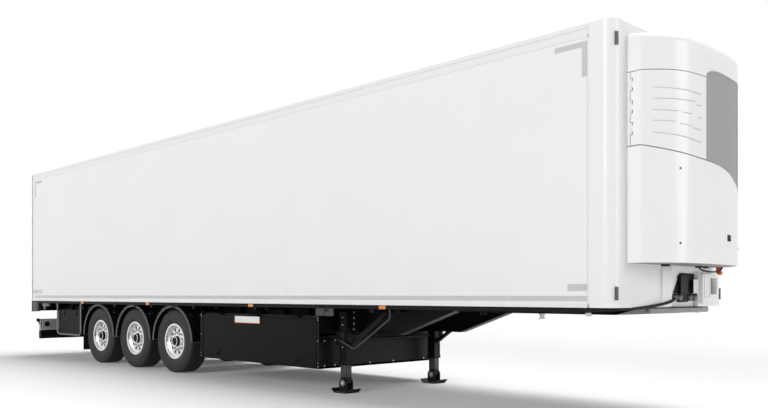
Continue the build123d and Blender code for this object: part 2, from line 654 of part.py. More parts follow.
for axle_name, axle_x in zip(AXLE_NAMES, AXLE_XS):
    with BuildPart() as axle:
        cross_rod(axle_x, HUB_Z, (-BRAKE_Y, BRAKE_Y), AXLE_RADIUS)
        spindle_end = WHEEL_Y + DISC_OFFSET
        cross_rod(axle_x, HUB_Z, (-spindle_end, spindle_end), SPINDLE_RADIUS)
        for name, side in SIDES:
            cross_rod(axle_x, HUB_Z, (side * (BRAKE_Y - BRAKE_WIDTH), side * BRAKE_Y), BRAKE_RADIUS)
            with BuildSketch(Plane.XZ.offset(-side * BEAM_Y)):
                with BuildLine():
                    Polyline(
                        (axle_x + ARM_REACH + ARM_DEPTH / 2, PIVOT_Z + ARM_DEPTH / 2),
                        (axle_x + ARM_REACH - ARM_DEPTH / 2, PIVOT_Z + ARM_DEPTH / 2),
                        (axle_x + AXLE_RADIUS, ARM_Z + ARM_DEPTH), (axle_x - ARM_END, ARM_Z + ARM_DEPTH),
                        (axle_x - ARM_END, ARM_Z), (axle_x + AXLE_RADIUS, ARM_Z),
                        (axle_x + ARM_REACH - ARM_DEPTH / 2, PIVOT_Z - ARM_DEPTH / 2),
                        (axle_x + ARM_REACH + ARM_DEPTH / 2, PIVOT_Z - ARM_DEPTH / 2), close=True,
                    )
                make_face()
            extrude(amount=ARM_WIDTH / 2, both=True)
    write(axle.part, f"axle_{axle_name}")

    for name, side in SIDES:
        centre = (axle_x, side * WHEEL_Y, HUB_Z)
        section = Plane(origin=centre, x_dir=(0, side, 0), z_dir=(side, 0, 0))
        spin = Axis(centre, (0, 1, 0))
        shoulder = (SHOULDER_WIDTH / 2, SHOULDER_RADIUS)

        with BuildPart() as tyre:
            with BuildSketch(section):
                with BuildLine():
                    Polyline((0, BEAD_RADIUS), (RIM_LIP, BEAD_RADIUS), (RIM_LIP, RIM_FLANGE_RADIUS))
                    ThreePointArc((RIM_LIP, RIM_FLANGE_RADIUS), (TYRE_WIDTH / 2, SIDEWALL_RADIUS), shoulder)
                    Polyline(shoulder, (TREAD_WIDTH / 2, TYRE_RADIUS), (0, TYRE_RADIUS))
                    mirror(about=Plane.YZ)
                make_face()
            revolve(axis=spin)
        write(tyre.part, f"tyre_{axle_name}_{name}")

        with BuildPart() as rim:
            with BuildSketch(section):
                with BuildLine():
                    Polyline(
                        (-RIM_EDGE, RIM_INNER), (-RIM_EDGE, RIM_FLANGE_RADIUS), (-RIM_LIP, RIM_FLANGE_RADIUS),
                        (-RIM_LIP, BEAD_RADIUS), (RIM_LIP, BEAD_RADIUS), (RIM_LIP, RIM_FLANGE_RADIUS),
                        (RIM_EDGE, RIM_FLANGE_RADIUS), (RIM_EDGE, RIM_INNER), (DISC_OFFSET, RIM_INNER),
                        (DISC_FACE, DISC_RADIUS), (DISC_FACE, HUB_CAP_RADIUS),
                        (DISC_FACE + HUB_CAP_REACH, HUB_CAP_RADIUS), (DISC_FACE + HUB_CAP_REACH, 0),
                        (DISC_FACE, 0), (DISC_FACE, SPINDLE_RADIUS + SPINDLE_CLEARANCE),
                        (HUB_Y - WHEEL_Y, SPINDLE_RADIUS + SPINDLE_CLEARANCE), (HUB_Y - WHEEL_Y, HUB_RADIUS),
                        (DISC_OFFSET, HUB_RADIUS), (DISC_OFFSET, DISC_RADIUS - DISC_THICK),
                        (DISC_OFFSET - DISC_CONE, RIM_INNER), close=True,
                    )
                make_face()
            revolve(axis=spin)
            with Locations(Location(centre, (90, 0, 0))):
                with PolarLocations(HAND_HOLE_CIRCLE, HAND_HOLES):
                    Cylinder(HAND_HOLE_RADIUS, 2 * RIM_WIDTH, mode=Mode.SUBTRACT)
        write(rim.part, f"rim_{axle_name}_{name}")

# Mudguards: half rings over the wheels, each on two stays from its main beam
GUARD_Y = WHEEL_Y + TYRE_WIDTH / 2 + GUARD_EDGE
with BuildPart() as guards:
    for axle_x in AXLE_XS:
        for name, side in SIDES:
            with BuildSketch(Plane.XZ.offset(-side * GUARD_Y)):
                with Locations((axle_x, HUB_Z)):
                    Circle(GUARD_RADIUS + GUARD_THICK)
                    Circle(GUARD_RADIUS, mode=Mode.SUBTRACT)
                with Locations((axle_x, HUB_Z - GUARD_RADIUS)):
                    Rectangle(4 * GUARD_RADIUS, 2 * GUARD_RADIUS, mode=Mode.SUBTRACT)
            extrude(amount=side * GUARD_WIDTH)
            for swing in (-STAY_ANGLE, STAY_ANGLE):
                stay = Vector(0, 0, GUARD_RADIUS - STAY_RADIUS / 2).rotate(Axis.Y, swing)
                stay_y = (side * WEB_Y, side * (GUARD_Y - GUARD_EDGE))
                cross_rod(axle_x + stay.X, HUB_Z + stay.Z, stay_y, STAY_RADIUS)
write(guards.part, "mudguards")

with BuildPart() as flaps:
    flap_x = AXLE_XS[-1] - GUARD_RADIUS
    for name, side in SIDES:
        flap_y = (side * (GUARD_Y - GUARD_WIDTH), side * GUARD_Y)
        fill((flap_x - GUARD_THICK, flap_x), flap_y, (FLAP_Z, HUB_Z))
write(flaps.part, "mudflaps")

# Side storage behind the wheels: a ribbed tool box in a tube frame on the right, a fuel tank on the left
STORE_X = (REAR_X + TOOLBOX_INSET, REAR_X + TOOLBOX_INSET + TOOLBOX_LENGTH)
STORE_Y = EDGE_Y - EDGE_RAIL_WIDTH / 2 - TUBE_RADIUS
CARRIER_XS = [STORE_X[0] + share * TOOLBOX_LENGTH for share in CARRIER_SHARES]
with BuildPart() as toolbox:
    fill(STORE_X, (-STORE_Y, -STORE_Y + TOOLBOX_DEPTH), (TOOLBOX_Z, TOOLBOX_TOP_Z))
    pitch = (TOOLBOX_TOP_Z - TOOLBOX_Z) / (TOOLBOX_RIBS + 1)
    for row in range(1, TOOLBOX_RIBS + 1):
        groove_z = TOOLBOX_Z + row * pitch
        groove_y = (-STORE_Y, -STORE_Y + TOOLBOX_RIB)
        fill(STORE_X, groove_y, (groove_z - TOOLBOX_RIB / 2, groove_z + TOOLBOX_RIB / 2), Mode.SUBTRACT)
write(toolbox.part, "tool_box")

with BuildPart() as toolbox_frame:
    tube_y = -STORE_Y - TUBE_RADIUS
    tube_z = TOOLBOX_Z - TUBE_RADIUS
    with BuildLine() as route:
        FilletPolyline(
            (STORE_X[1], tube_y, EDGE_Z), (STORE_X[1], tube_y, tube_z), (STORE_X[0], tube_y, tube_z),
            (STORE_X[0], tube_y, EDGE_Z), radius=TUBE_BEND,
        )
    with BuildSketch(Plane(origin=(STORE_X[1], tube_y, EDGE_Z), z_dir=(0, 0, -1))):
        Circle(TUBE_RADIUS)
    sweep(path=route.line)
    for x in CARRIER_XS:
        carrier_y = (-WEB_Y, -STORE_Y + TOOLBOX_DEPTH)
        fill((x - CARRIER / 2, x + CARRIER / 2), carrier_y, (CARRIER_Z, CARRIER_Z + CARRIER))
write(toolbox_frame.part, "tool_box_frame")

with BuildPart() as tank:
    middle_y = STORE_Y - TANK_DEPTH / 2
    middle_z = (TANK_Z + TANK_TOP_Z) / 2
    height = TANK_TOP_Z - TANK_Z
    with BuildSketch(Plane(origin=(STORE_X[0], middle_y, middle_z), x_dir=(0, 1, 0), z_dir=(1, 0, 0))):
        RectangleRounded(TANK_DEPTH, height, TANK_ROUND)
    extrude(amount=TOOLBOX_LENGTH)
    for x in CARRIER_XS:
        strap_start = (x - CARRIER / 2, middle_y, middle_z)
        with BuildSketch(Plane(origin=strap_start, x_dir=(0, 1, 0), z_dir=(1, 0, 0))):
            RectangleRounded(TANK_DEPTH + 2 * STRAP_SKIN, height + 2 * STRAP_SKIN, TANK_ROUND + STRAP_SKIN)
        extrude(amount=CARRIER)
        carrier_y = (WEB_Y, STORE_Y - TANK_DEPTH)
        fill((x - CARRIER / 2, x + CARRIER / 2), carrier_y, (CARRIER_Z, CARRIER_Z + CARRIER))
write(tank.part, "fuel_tank")

with BuildPart() as air_tanks:
    tank_front = AXLE_XS[0] + AIR_TANK_LEAD
    tank_x = (tank_front - AIR_TANK_LENGTH, tank_front)
    for name, side in SIDES:
        long_rod(side * AIR_TANK_Y, BODY_Z - MEMBER_DEPTH - AIR_TANK_RADIUS, tank_x, AIR_TANK_RADIUS)
write(air_tanks.part, "air_tanks")

# Rear equipment: underrun bar on two brackets, lamp carriers on the bar, buffers on the rear beam
UNDERRUN_X = (REAR_X + UNDERRUN_INSET, REAR_X + UNDERRUN_INSET + UNDERRUN_DEPTH)
with BuildPart() as underrun:
    fill(UNDERRUN_X, (-UNDERRUN_WIDTH / 2, UNDERRUN_WIDTH / 2), (UNDERRUN_Z, UNDERRUN_TOP_Z))
    for name, side in SIDES:
        bracket_y = (side * BEAM_Y - UNDERRUN_BRACKET / 2, side * BEAM_Y + UNDERRUN_BRACKET / 2)
        fill(UNDERRUN_X, bracket_y, (UNDERRUN_TOP_Z, BEAM_Z))
write(underrun.part, "underrun_bar")

LAMP_Y = (UNDERRUN_WIDTH / 2 - LAMP_WIDTH, UNDERRUN_WIDTH / 2)
LAMP_TOP_Z = UNDERRUN_TOP_Z + LAMP_HEIGHT
with BuildPart() as carriers:
    for name, side in SIDES:
        lamp_y = [side * y for y in LAMP_Y]
        fill((UNDERRUN_X[0], UNDERRUN_X[0] + LAMP_DEPTH), lamp_y, (UNDERRUN_TOP_Z, LAMP_TOP_Z))
write(carriers.part, "lamp_carriers")

with BuildPart() as tail_lamps:
    for name, side in SIDES:
        lens_y = (side * (LAMP_Y[0] + LENS_MARGIN), side * (LAMP_Y[1] - LENS_MARGIN))
        lens_z = (UNDERRUN_TOP_Z + LENS_MARGIN, LAMP_TOP_Z - LENS_MARGIN)
        fill((UNDERRUN_X[0] - LENS_REACH, UNDERRUN_X[0]), lens_y, lens_z)
write(tail_lamps.part, "tail_lamps")

with BuildPart() as buffers:
    for name, side in SIDES:
        with BuildSketch(Plane.XY.offset(BODY_Z - BUFFER_HEIGHT)) as pad:
            with Locations((REAR_X - REAR_REACH / 2, side * (HALF - BUFFER_WIDTH / 2))):
                Rectangle(REAR_REACH, BUFFER_WIDTH)
            fillet(pad.vertices().group_by(Axis.X)[0], BUFFER_ROUND)
        extrude(amount=BUFFER_HEIGHT)
write(buffers.part, "buffers")

with BuildPart() as side_markers:
    for share in MARKER_SHARES:
        middle_x = setback(share * BOX_LENGTH)
        marker_x = (middle_x - MARKER_LENGTH / 2, middle_x + MARKER_LENGTH / 2)
        for name, side in SIDES:
            fill(marker_x, (side * EDGE_Y, side * (EDGE_Y + MARKER_REACH)), (EDGE_Z, EDGE_Z + MARKER_HEIGHT))
write(side_markers.part, "side_markers")

# Front markers stand on the rounded front corners
with BuildPart() as front_markers:
    for z in FRONT_MARKER_ZS:
        for name, side in SIDES:
            corner = (FRONT_X - CORNER_RADIUS, side * (HALF - CORNER_RADIUS), z)
            with Locations(Location(corner, (0, 0, side * FRONT_MARKER_TURN))):
                with Locations((CORNER_RADIUS + FRONT_MARKER_REACH / 2, 0, 0)):
                    Box(FRONT_MARKER_REACH, FRONT_MARKER_WIDTH, FRONT_MARKER_HEIGHT)
write(front_markers.part, "front_markers")

# Cooling unit. Its plan is a flat strip at each side, two shoulder arcs and a shallow crown.
UNIT_HALF = UNIT_WIDTH / 2
UNIT_SHOULDER = UNIT_HALF - UNIT_SHOULDER_RUN
UNIT_PIN_FRONT_X = FRONT_X + UNIT_PIN_X
LEAF_X = FRONT_X + UNIT_FLANGE + DOOR_GAP
HINGE_LEAF_X = UNIT_PIN_FRONT_X + UNIT_KNUCKLE + DOOR_GAP
UNIT_LUG_START = UNIT_HINGE_HEIGHT / 2 + LUG_GAP
TRAY_Z = UNIT_Z + UNIT_TRAY
CEILING_Z = UNIT_TOP_Z - COWL
GRILLE_INSIDE = GRILLE_RECESS + GRILLE_THICK
GRILLE_YS = {name: side * GRILLE_SHARES[name] * UNIT_HALF for name, side in SIDES}

with BuildSketch() as unit_plan:
    shoulder_x = FRONT_X + UNIT_DEPTH - UNIT_CROWN
    strip_x = FRONT_X + UNIT_STRIP
    with BuildLine():
        nose = (FRONT_X + UNIT_DEPTH, 0)
        crown = ThreePointArc((shoulder_x, -UNIT_SHOULDER), nose, (shoulder_x, UNIT_SHOULDER))
        left = TangentArc(crown @ 1, (strip_x, UNIT_HALF), tangent=crown % 1)
        right = TangentArc(crown @ 0, (strip_x, -UNIT_HALF), tangent=(crown % 0) * -1)
        Polyline(left @ 1, (FRONT_X, UNIT_HALF), (FRONT_X, -UNIT_HALF), right @ 1)
    make_face()

# What lies below the curved seam, seen from the front. Places on it are shares of the unit's half width.
with BuildSketch(Plane.YZ) as below_seam:
    with BuildLine():
        seam = Spline([(across * UNIT_HALF, SEAM_Z + rise * UNIT_HALF) for across, rise in SEAM_CURVE])
        Polyline(seam @ 1, ((seam @ 1).X, UNIT_Z), ((seam @ 0).X, UNIT_Z), seam @ 0)
    make_face()


def part_at_seam(shift, mode):
    """Keep or take away what lies below the seam, with the seam moved up by this shift."""
    moved = below_seam.sketch.moved(Location((FRONT_X, 0, shift)))
    extrude(moved, amount=2 * UNIT_DEPTH, both=True, mode=mode)


def draw_unit_inside(wall):
    """Draw the space inside a unit shell of this wall, open at its back."""
    add(unit_plan.sketch)
    offset(amount=-wall)
    with Locations((FRONT_X + wall, 0)):
        Rectangle(2 * wall, UNIT_WIDTH - 2 * wall)


PLATE_Y = UNIT_HALF - CAP_WALL
with BuildPart() as flanges:
    for name, side in SIDES:
        flange_y = (side * PLATE_Y, side * UNIT_HALF)
        fill((FRONT_X, FRONT_X + UNIT_FLANGE), flange_y, (TRAY_Z, CAP_Z - CAP_GAP))
    part_at_seam(SEAM_GAP / 2, Mode.SUBTRACT)

with BuildPart() as unit_frame:
    with BuildSketch(Plane.XY.offset(UNIT_Z)):
        add(unit_plan.sketch)
    extrude(amount=UNIT_TRAY)
    fill((FRONT_X, FRONT_X + BACK_PLATE), (-PLATE_Y, PLATE_Y), (TRAY_Z, CEILING_Z))
    add(flanges.part)
    for name, side in SIDES:
        with BuildSketch(Plane.XY.offset(TRAY_Z)):
            draw_unit_inside(GRILLE_INSIDE)
            with Locations((FRONT_X + UNIT_DEPTH / 2, GRILLE_YS[name] - side * BULKHEAD / 2)):
                Rectangle(UNIT_DEPTH, BULKHEAD, mode=Mode.INTERSECT)
        extrude(amount=CAP_Z - TRAY_Z)
        lug_y = (side * (UNIT_HALF - UNIT_KNUCKLE), side * UNIT_HALF)
        for z in UNIT_HINGE_ZS:
            for end in (-1, 1):
                lug = (z + end * UNIT_LUG_START, z + end * (UNIT_LUG_START + HINGE_LUG))
                fill((FRONT_X, UNIT_PIN_FRONT_X), lug_y, lug)
                upright(UNIT_PIN_FRONT_X, side * UNIT_HALF, lug, UNIT_KNUCKLE)
            upright(UNIT_PIN_FRONT_X, side * UNIT_HALF, (z - UNIT_LUG_START, z + UNIT_LUG_START), UNIT_PIN)
write(unit_frame.part, "unit_frame")

with BuildPart() as lower_cowl:
    with BuildSketch(Plane.XY.offset(TRAY_Z)):
        add(unit_plan.sketch)
    extrude(amount=CAP_Z - TRAY_Z)
    with BuildSketch(Plane.XY.offset(TRAY_Z)):
        draw_unit_inside(COWL)
    extrude(amount=CAP_Z - TRAY_Z, mode=Mode.SUBTRACT)
    part_at_seam(-SEAM_GAP / 2, Mode.INTERSECT)
write(lower_cowl.part, "unit_lower_cowl")

# Short and long raised bars follow the curve of the right door
with BuildPart() as ribs:
    with BuildSketch(Plane.YZ.offset(FRONT_X)):
        for start, start_rise, end, end_rise in RIB_ENDS:
            start_y, start_z = start * UNIT_HALF, SEAM_Z + start_rise * UNIT_HALF
            end_y, end_z = end * UNIT_HALF, SEAM_Z + end_rise * UNIT_HALF
            Polygon(
                (start_y, start_z), (end_y, end_z), (end_y, end_z + RIB_HEIGHT),
                (start_y, start_z + RIB_HEIGHT), align=None,
            )
    extrude(amount=2 * UNIT_DEPTH)
    with BuildSketch(Plane.XY.offset(UNIT_Z)):
        add(unit_plan.sketch)
        offset(amount=RIB_REACH)
    extrude(amount=UNIT_TOP_Z - UNIT_Z, mode=Mode.INTERSECT)

for name, side in SIDES:
    with BuildPart() as unit_door:
        with BuildSketch(Plane.XY.offset(TRAY_Z)):
            add(unit_plan.sketch)
        extrude(amount=CAP_Z - CAP_GAP - TRAY_Z)
        if name == "right":
            add(ribs.part)
        with BuildSketch(Plane.XY.offset(TRAY_Z)):
            draw_unit_inside(COWL)
        extrude(amount=CAP_Z - CAP_GAP - TRAY_Z, mode=Mode.SUBTRACT)
        part_at_seam(SEAM_GAP / 2, Mode.SUBTRACT)
        whole_z = (UNIT_Z, UNIT_TOP_Z)
        edge_y = GRILLE_YS[name] + side * DOOR_GAP
        fill((FRONT_X, FRONT_X + 2 * UNIT_DEPTH), (edge_y, -side * UNIT_WIDTH), whole_z, Mode.SUBTRACT)
        fill((FRONT_X, LEAF_X), (-UNIT_WIDTH, UNIT_WIDTH), whole_z, Mode.SUBTRACT)
        notch_half = UNIT_LUG_START + HINGE_LUG + DOOR_GAP
        knuckle_y = (side * (UNIT_HALF - UNIT_KNUCKLE), side * UNIT_HALF)
        for z in UNIT_HINGE_ZS:
            notch_z = (z - notch_half, z + notch_half)
            fill((FRONT_X, HINGE_LEAF_X), (0, side * UNIT_WIDTH), notch_z, Mode.SUBTRACT)
            knuckle_z = (z - UNIT_HINGE_HEIGHT / 2, z + UNIT_HINGE_HEIGHT / 2)
            fill((UNIT_PIN_FRONT_X, HINGE_LEAF_X + COWL), knuckle_y, knuckle_z)
            upright(UNIT_PIN_FRONT_X, side * UNIT_HALF, knuckle_z, UNIT_KNUCKLE)
            upright(UNIT_PIN_FRONT_X, side * UNIT_HALF, knuckle_z, UNIT_PIN + PIN_CLEARANCE, Mode.SUBTRACT)
    write(unit_door.part, f"unit_door_{name}")

# The cap is notched for the top of the mesh panel
with BuildPart() as cap:
    with BuildSketch(Plane.XY.offset(CAP_Z)):
        add(unit_plan.sketch)
    extrude(amount=UNIT_TOP_Z - CAP_Z)
    crown_edges = cap.faces().sort_by(Axis.Z)[-1].edges().filter_by(GeomType.CIRCLE)
    fillet(crown_edges, CAP_ROUND)
    with BuildSketch(Plane.XY.offset(CAP_Z)):
        draw_unit_inside(CAP_WALL)
    extrude(amount=CEILING_Z - CAP_Z, mode=Mode.SUBTRACT)
    notch_y = (GRILLE_YS["right"] - GRILLE_CLEAR, GRILLE_YS["left"] + GRILLE_CLEAR)
    notch_z = (CAP_Z, GRILLE_TOP_Z + GRILLE_CLEAR)
    fill((strip_x, FRONT_X + UNIT_DEPTH), notch_y, notch_z, Mode.SUBTRACT)
write(cap.part, "unit_cap")

with BuildPart() as grille:
    with BuildSketch(Plane.XY.offset(TRAY_Z)):
        add(unit_plan.sketch)
        offset(amount=-GRILLE_RECESS)
    extrude(amount=GRILLE_TOP_Z - TRAY_Z)
    with BuildSketch(Plane.XY.offset(TRAY_Z)):
        draw_unit_inside(GRILLE_INSIDE)
    extrude(amount=GRILLE_TOP_Z - TRAY_Z, mode=Mode.SUBTRACT)
    with BuildSketch(Plane.YZ.offset(strip_x)) as panel:
        with Locations((sum(GRILLE_YS.values()) / 2, (TRAY_Z + GRILLE_TOP_Z) / 2)):
            Rectangle(GRILLE_YS["left"] - GRILLE_YS["right"], GRILLE_TOP_Z - TRAY_Z)
        fillet(panel.vertices().group_by(Axis.Y)[-1], GRILLE_ROUND)
    extrude(amount=UNIT_DEPTH, mode=Mode.INTERSECT)
    part_at_seam(SEAM_GAP / 2, Mode.SUBTRACT)
write(grille.part, "unit_grille")

with BuildPart() as engine:
    engine_x = (FRONT_X + BACK_PLATE, FRONT_X + BACK_PLATE + ENGINE_LENGTH)
    fill(engine_x, (-ENGINE_WIDTH / 2, ENGINE_WIDTH / 2), (TRAY_Z, TRAY_Z + ENGINE_HEIGHT))
write(engine.part, "unit_engine")

# Couplings in the pocket of the front wall, and the service box beside it
POCKET_X = FRONT_X - RECESS_DEPTH
with BuildPart() as couplings:
    fill((POCKET_X, POCKET_X + PANEL_THICK), PANEL_Y, PANEL_Z)
    for y in COUPLING_YS:
        long_rod(y, COUPLING_Z, (POCKET_X, POCKET_X + COUPLING_REACH), COUPLING_RADIUS)
write(couplings.part, "couplings")

with BuildPart() as service_box:
    service_y = (RECESS_LEFT_Y + SERVICE_BOX_GAP, RECESS_LEFT_Y + SERVICE_BOX_GAP + SERVICE_BOX_WIDTH)
    fill((FRONT_X, FRONT_X + SERVICE_BOX_DEPTH), service_y, SERVICE_BOX_Z)
write(service_box.part, "service_box")
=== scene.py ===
"""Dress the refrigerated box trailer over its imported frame: finishes, fittings, stage, camera."""
from __future__ import annotations

import logging
import math
from dataclasses import dataclass
from enum import Enum
from typing import Iterable, List, Optional, Sequence, Tuple, Union

import bmesh
import bpy
from mathutils import Matrix, Vector


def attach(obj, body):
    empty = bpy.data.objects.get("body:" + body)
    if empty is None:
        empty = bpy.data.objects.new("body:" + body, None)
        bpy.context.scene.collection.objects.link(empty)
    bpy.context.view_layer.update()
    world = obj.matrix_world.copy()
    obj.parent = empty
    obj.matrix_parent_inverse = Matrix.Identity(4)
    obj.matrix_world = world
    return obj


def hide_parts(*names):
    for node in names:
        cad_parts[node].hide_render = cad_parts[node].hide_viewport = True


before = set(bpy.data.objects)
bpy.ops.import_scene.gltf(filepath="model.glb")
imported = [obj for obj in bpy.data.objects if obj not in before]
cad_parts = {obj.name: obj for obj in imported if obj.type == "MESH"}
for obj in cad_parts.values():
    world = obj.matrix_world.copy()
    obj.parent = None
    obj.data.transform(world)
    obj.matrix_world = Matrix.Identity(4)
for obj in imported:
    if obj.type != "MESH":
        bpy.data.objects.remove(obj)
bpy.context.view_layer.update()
log = logging.getLogger("trailer")

Colour = Tuple[float, float, float]
Point = Tuple[float, float, float]
Value = Union["Signal", float, Colour]
Flat = Tuple[float, float, float, float]
Pair = Tuple[float, float]
Profile = Tuple[Pair, ...]
Flats = Tuple[Flat, ...]
Row = Tuple[float, ...]
TRAILER = "trailer"
HUB_PLACE = "hub_place"
FULL_TURN = 2.0 * math.pi
WELD = 0.00001
AXLES = {"front": -1.3225, "middle": -2.6325, "rear": -3.9425}
WHEEL_Y = 1.02
HUB_Z = 0.536


class Side(Enum):
    """The two sides of the trailer, as seen looking forward; the value is the sign of Y."""

    RIGHT = -1
    LEFT = 1

    @property
    def word(self) -> str:
        """Give the side's word in piece names."""
        return self.name.lower()


class Grain(Enum):
    """The way that a brushed metal's fine scratches run."""

    LONG = (2.0, 260.0, 260.0)
    UP = (260.0, 260.0, 2.0)
    ROUND = (0.0, 0.0, 0.0)


class Signal:
    """A value that changes over a surface; arithmetic on it adds Math nodes."""

    def __init__(self, sheet: NodeSheet, socket: bpy.types.NodeSocket) -> None:
        """Keep the socket and the sheet of nodes that it belongs to."""
        self.sheet, self.socket = sheet, socket

    def _math(self, operation: str, first: Value, second: Value = 0.0) -> Signal:
        """Join two values by one Math node."""
        return self.sheet.node("ShaderNodeMath", {"operation": operation}, {0: first, 1: second})

    def __add__(self, other: Value) -> Signal:
        """Add."""
        return self._math("ADD", self, other)

    __radd__ = __add__

    def __sub__(self, other: Value) -> Signal:
        """Subtract."""
        return self._math("SUBTRACT", self, other)

    def __rsub__(self, other: Value) -> Signal:
        """Subtract, from the right."""
        return self._math("SUBTRACT", other, self)

    def __mul__(self, other: Value) -> Signal:
        """Multiply."""
        return self._math("MULTIPLY", self, other)

    __rmul__ = __mul__

    def __gt__(self, other: Value) -> Signal:
        """Give 1 where this is greater, else 0."""
        return self._math("GREATER_THAN", self, other)

    def sine(self) -> Signal:
        """Give the sine."""
        return self._math("SINE", self)

    def between(self, low: float, high: float) -> Signal:
        """Give 0 below low and 1 above high, and a smooth rise between them."""
        sockets = {"Value": self, "From Min": low, "From Max": high}
        return self.sheet.node("ShaderNodeMapRange", {"interpolation_type": "SMOOTHSTEP"}, sockets)


class NodeSheet:
    """A tree of shader nodes."""

    def __init__(self, tree: bpy.types.NodeTree) -> None:
        """Keep the tree that the nodes are made in."""
        self.tree = tree

    def node(self, kind: str, settings: Optional[dict] = None,
             sockets: Optional[dict] = None, output: Union[int, str] = 0) -> Signal:
        """Make one node.

        Args:
            kind: the node's type.
            settings: its properties, which are set first.
            sockets: values or signals for its inputs, by name or number.
            output: the output that is wanted.

        Returns:
            The signal at that output.
        """
        node = self.tree.nodes.new(kind)
        for key, value in (settings or {}).items():
            setattr(node, key, value)
        self.fill(node, sockets or {})
        return Signal(self, node.outputs[output])

    def fill(self, node: bpy.types.Node, sockets: dict) -> None:
        """Set or link a node's inputs.

        Args:
            node: the node.
            sockets: values or signals, by input name or number.
        """
        for key, value in sockets.items():
            if isinstance(value, Signal):
                self.tree.links.new(value.socket, node.inputs[key])
            elif isinstance(value, tuple) and node.inputs[key].type == "RGBA":
                node.inputs[key].default_value = (*value, 1.0)
            else:
                node.inputs[key].default_value = value


class ShaderSheet(NodeSheet):
    """The nodes of one material, with its Principled shader ready to be fed."""

    def __init__(self, name: str) -> None:
        """Start a material of this name."""
        self.material = bpy.data.materials.new(name)
        self.material.use_nodes = True
        super().__init__(self.material.node_tree)
        self.principled = self.tree.nodes["Principled BSDF"]

    def feed(self, sockets: dict) -> None:
        """Feed the Principled shader."""
        self.fill(self.principled, sockets)

    def places(self) -> Signal:
        """Give the Object coordinates."""
        return self.node("ShaderNodeTexCoord", output="Object")

    def hub_radius(self) -> Signal:
        """Give the distance from the axle, by the hub places that a wheel's pieces carry."""
        settings = {"attribute_type": "GEOMETRY", "attribute_name": HUB_PLACE}
        place = self.node("ShaderNodeAttribute", settings, output="Vector")
        flat = self.stretched(place, (1.0, 0.0, 1.0))
        return self.node("ShaderNodeVectorMath", {"operation": "LENGTH"}, {0: flat}, "Value")

    def axis(self, vector: Signal, letter: str) -> Signal:
        """Give one part of a vector."""
        return self.node("ShaderNodeSeparateXYZ", sockets={0: vector}, output=letter)

    def stretched(self, vector: Signal, scale: Point) -> Signal:
        """Scale a vector along its three axes."""
        return self.node("ShaderNodeVectorMath", {"operation": "MULTIPLY"}, {0: vector, 1: scale})

    def noise(self, scale: float, detail: float = 2.0,
              vector: Optional[Signal] = None) -> Signal:
        """Give a soft noise, so many lumps to the metre."""
        sockets = {"Vector": vector or self.places(), "Scale": scale, "Detail": detail}
        return self.node("ShaderNodeTexNoise", sockets=sockets)

    def cells(self, scale: float, feature: str = "F1", output: str = "Distance") -> Signal:
        """Give Voronoi cells, so many to the metre."""
        sockets = {"Vector": self.places(), "Scale": scale}
        return self.node("ShaderNodeTexVoronoi", {"feature": feature}, sockets, output)

    def mix(self, share: Value, first: Value, second: Value) -> Signal:
        """Mix two colours by a share of the second."""
        return self.node("ShaderNodeMix", {"data_type": "RGBA"}, {0: share, 6: first, 7: second}, 2)

    def facing_up(self) -> Signal:
        """Give 1 where the surface faces up and 0 where it is upright or faces down."""
        normal = self.node("ShaderNodeNewGeometry", output="Normal")
        return self.axis(normal, "Z").between(0.35, 0.95)

    def bump(self, height: Signal, distance: float, strength: float = 1.0) -> None:
        """Raise the surface by a height, in metres for a height of 1."""
        sockets = {"Height": height, "Distance": distance, "Strength": strength}
        self.feed({"Normal": self.node("ShaderNodeBump", sockets=sockets)})


def scaled(colour: Colour, share: float) -> Colour:
    """Give a colour made lighter or darker."""
    return tuple(part * share for part in colour)


@dataclass(frozen=True)
class Finish:
    """A surface finish for one material slot. Each kind lays its own grain on the material."""

    name: str
    slot: str
    colour: Colour
    roughness: float
    sheen: float = 0.5

    def material(self) -> bpy.types.Material:
        """Give the finish's material, made when it is first asked for."""
        key = f"finish_{self.name}"
        if key not in bpy.data.materials:
            sheet = ShaderSheet(key)
            sheet.material.diffuse_color = (*self.colour, 1.0)
            sheet.feed({"Specular IOR Level": self.sheen})
            self.lay(sheet)
        return bpy.data.materials[key]

    def lay(self, sheet: ShaderSheet) -> None:
        """Lay a plain finish with a faint unevenness."""
        tone = sheet.noise(3.0).between(0.3, 0.7)
        sheet.feed({
            "Base Color": sheet.mix(tone, scaled(self.colour, 0.94), self.colour),
            "Roughness": self.roughness + 0.08 * sheet.noise(40.0),
        })


@dataclass(frozen=True)
class PanelSkin(Finish):
    """Smooth white panel skin: long soft waves, a faint peel, and a thin film near the road."""

    wave: float = 0.0008
    film: float = 0.05

    def lay(self, sheet: ShaderSheet) -> None:
        """Lay the skin on a material."""
        places = sheet.places()
        height = sheet.axis(places, "Z")
        streaks = sheet.noise(1.0, 4.0, sheet.stretched(places, (9.0, 9.0, 0.7)))
        low = 1.0 - height.between(1.15, 1.75)
        film = self.film * low * streaks.between(0.35, 0.75)
        tone = sheet.noise(0.8, 3.0).between(0.3, 0.7)
        clean = sheet.mix(tone, scaled(self.colour, 0.985), self.colour)
        sheet.feed({
            "Base Color": sheet.mix(film, clean, (0.45, 0.43, 0.4)),
            "Roughness": self.roughness + 0.1 * sheet.noise(14.0, 4.0) + film,
            "Coat Weight": 0.25,
            "Coat Roughness": 0.12,
        })
        sheet.bump(sheet.noise(1.6, 1.0) + 0.03 * sheet.noise(160.0, 1.0), self.wave)


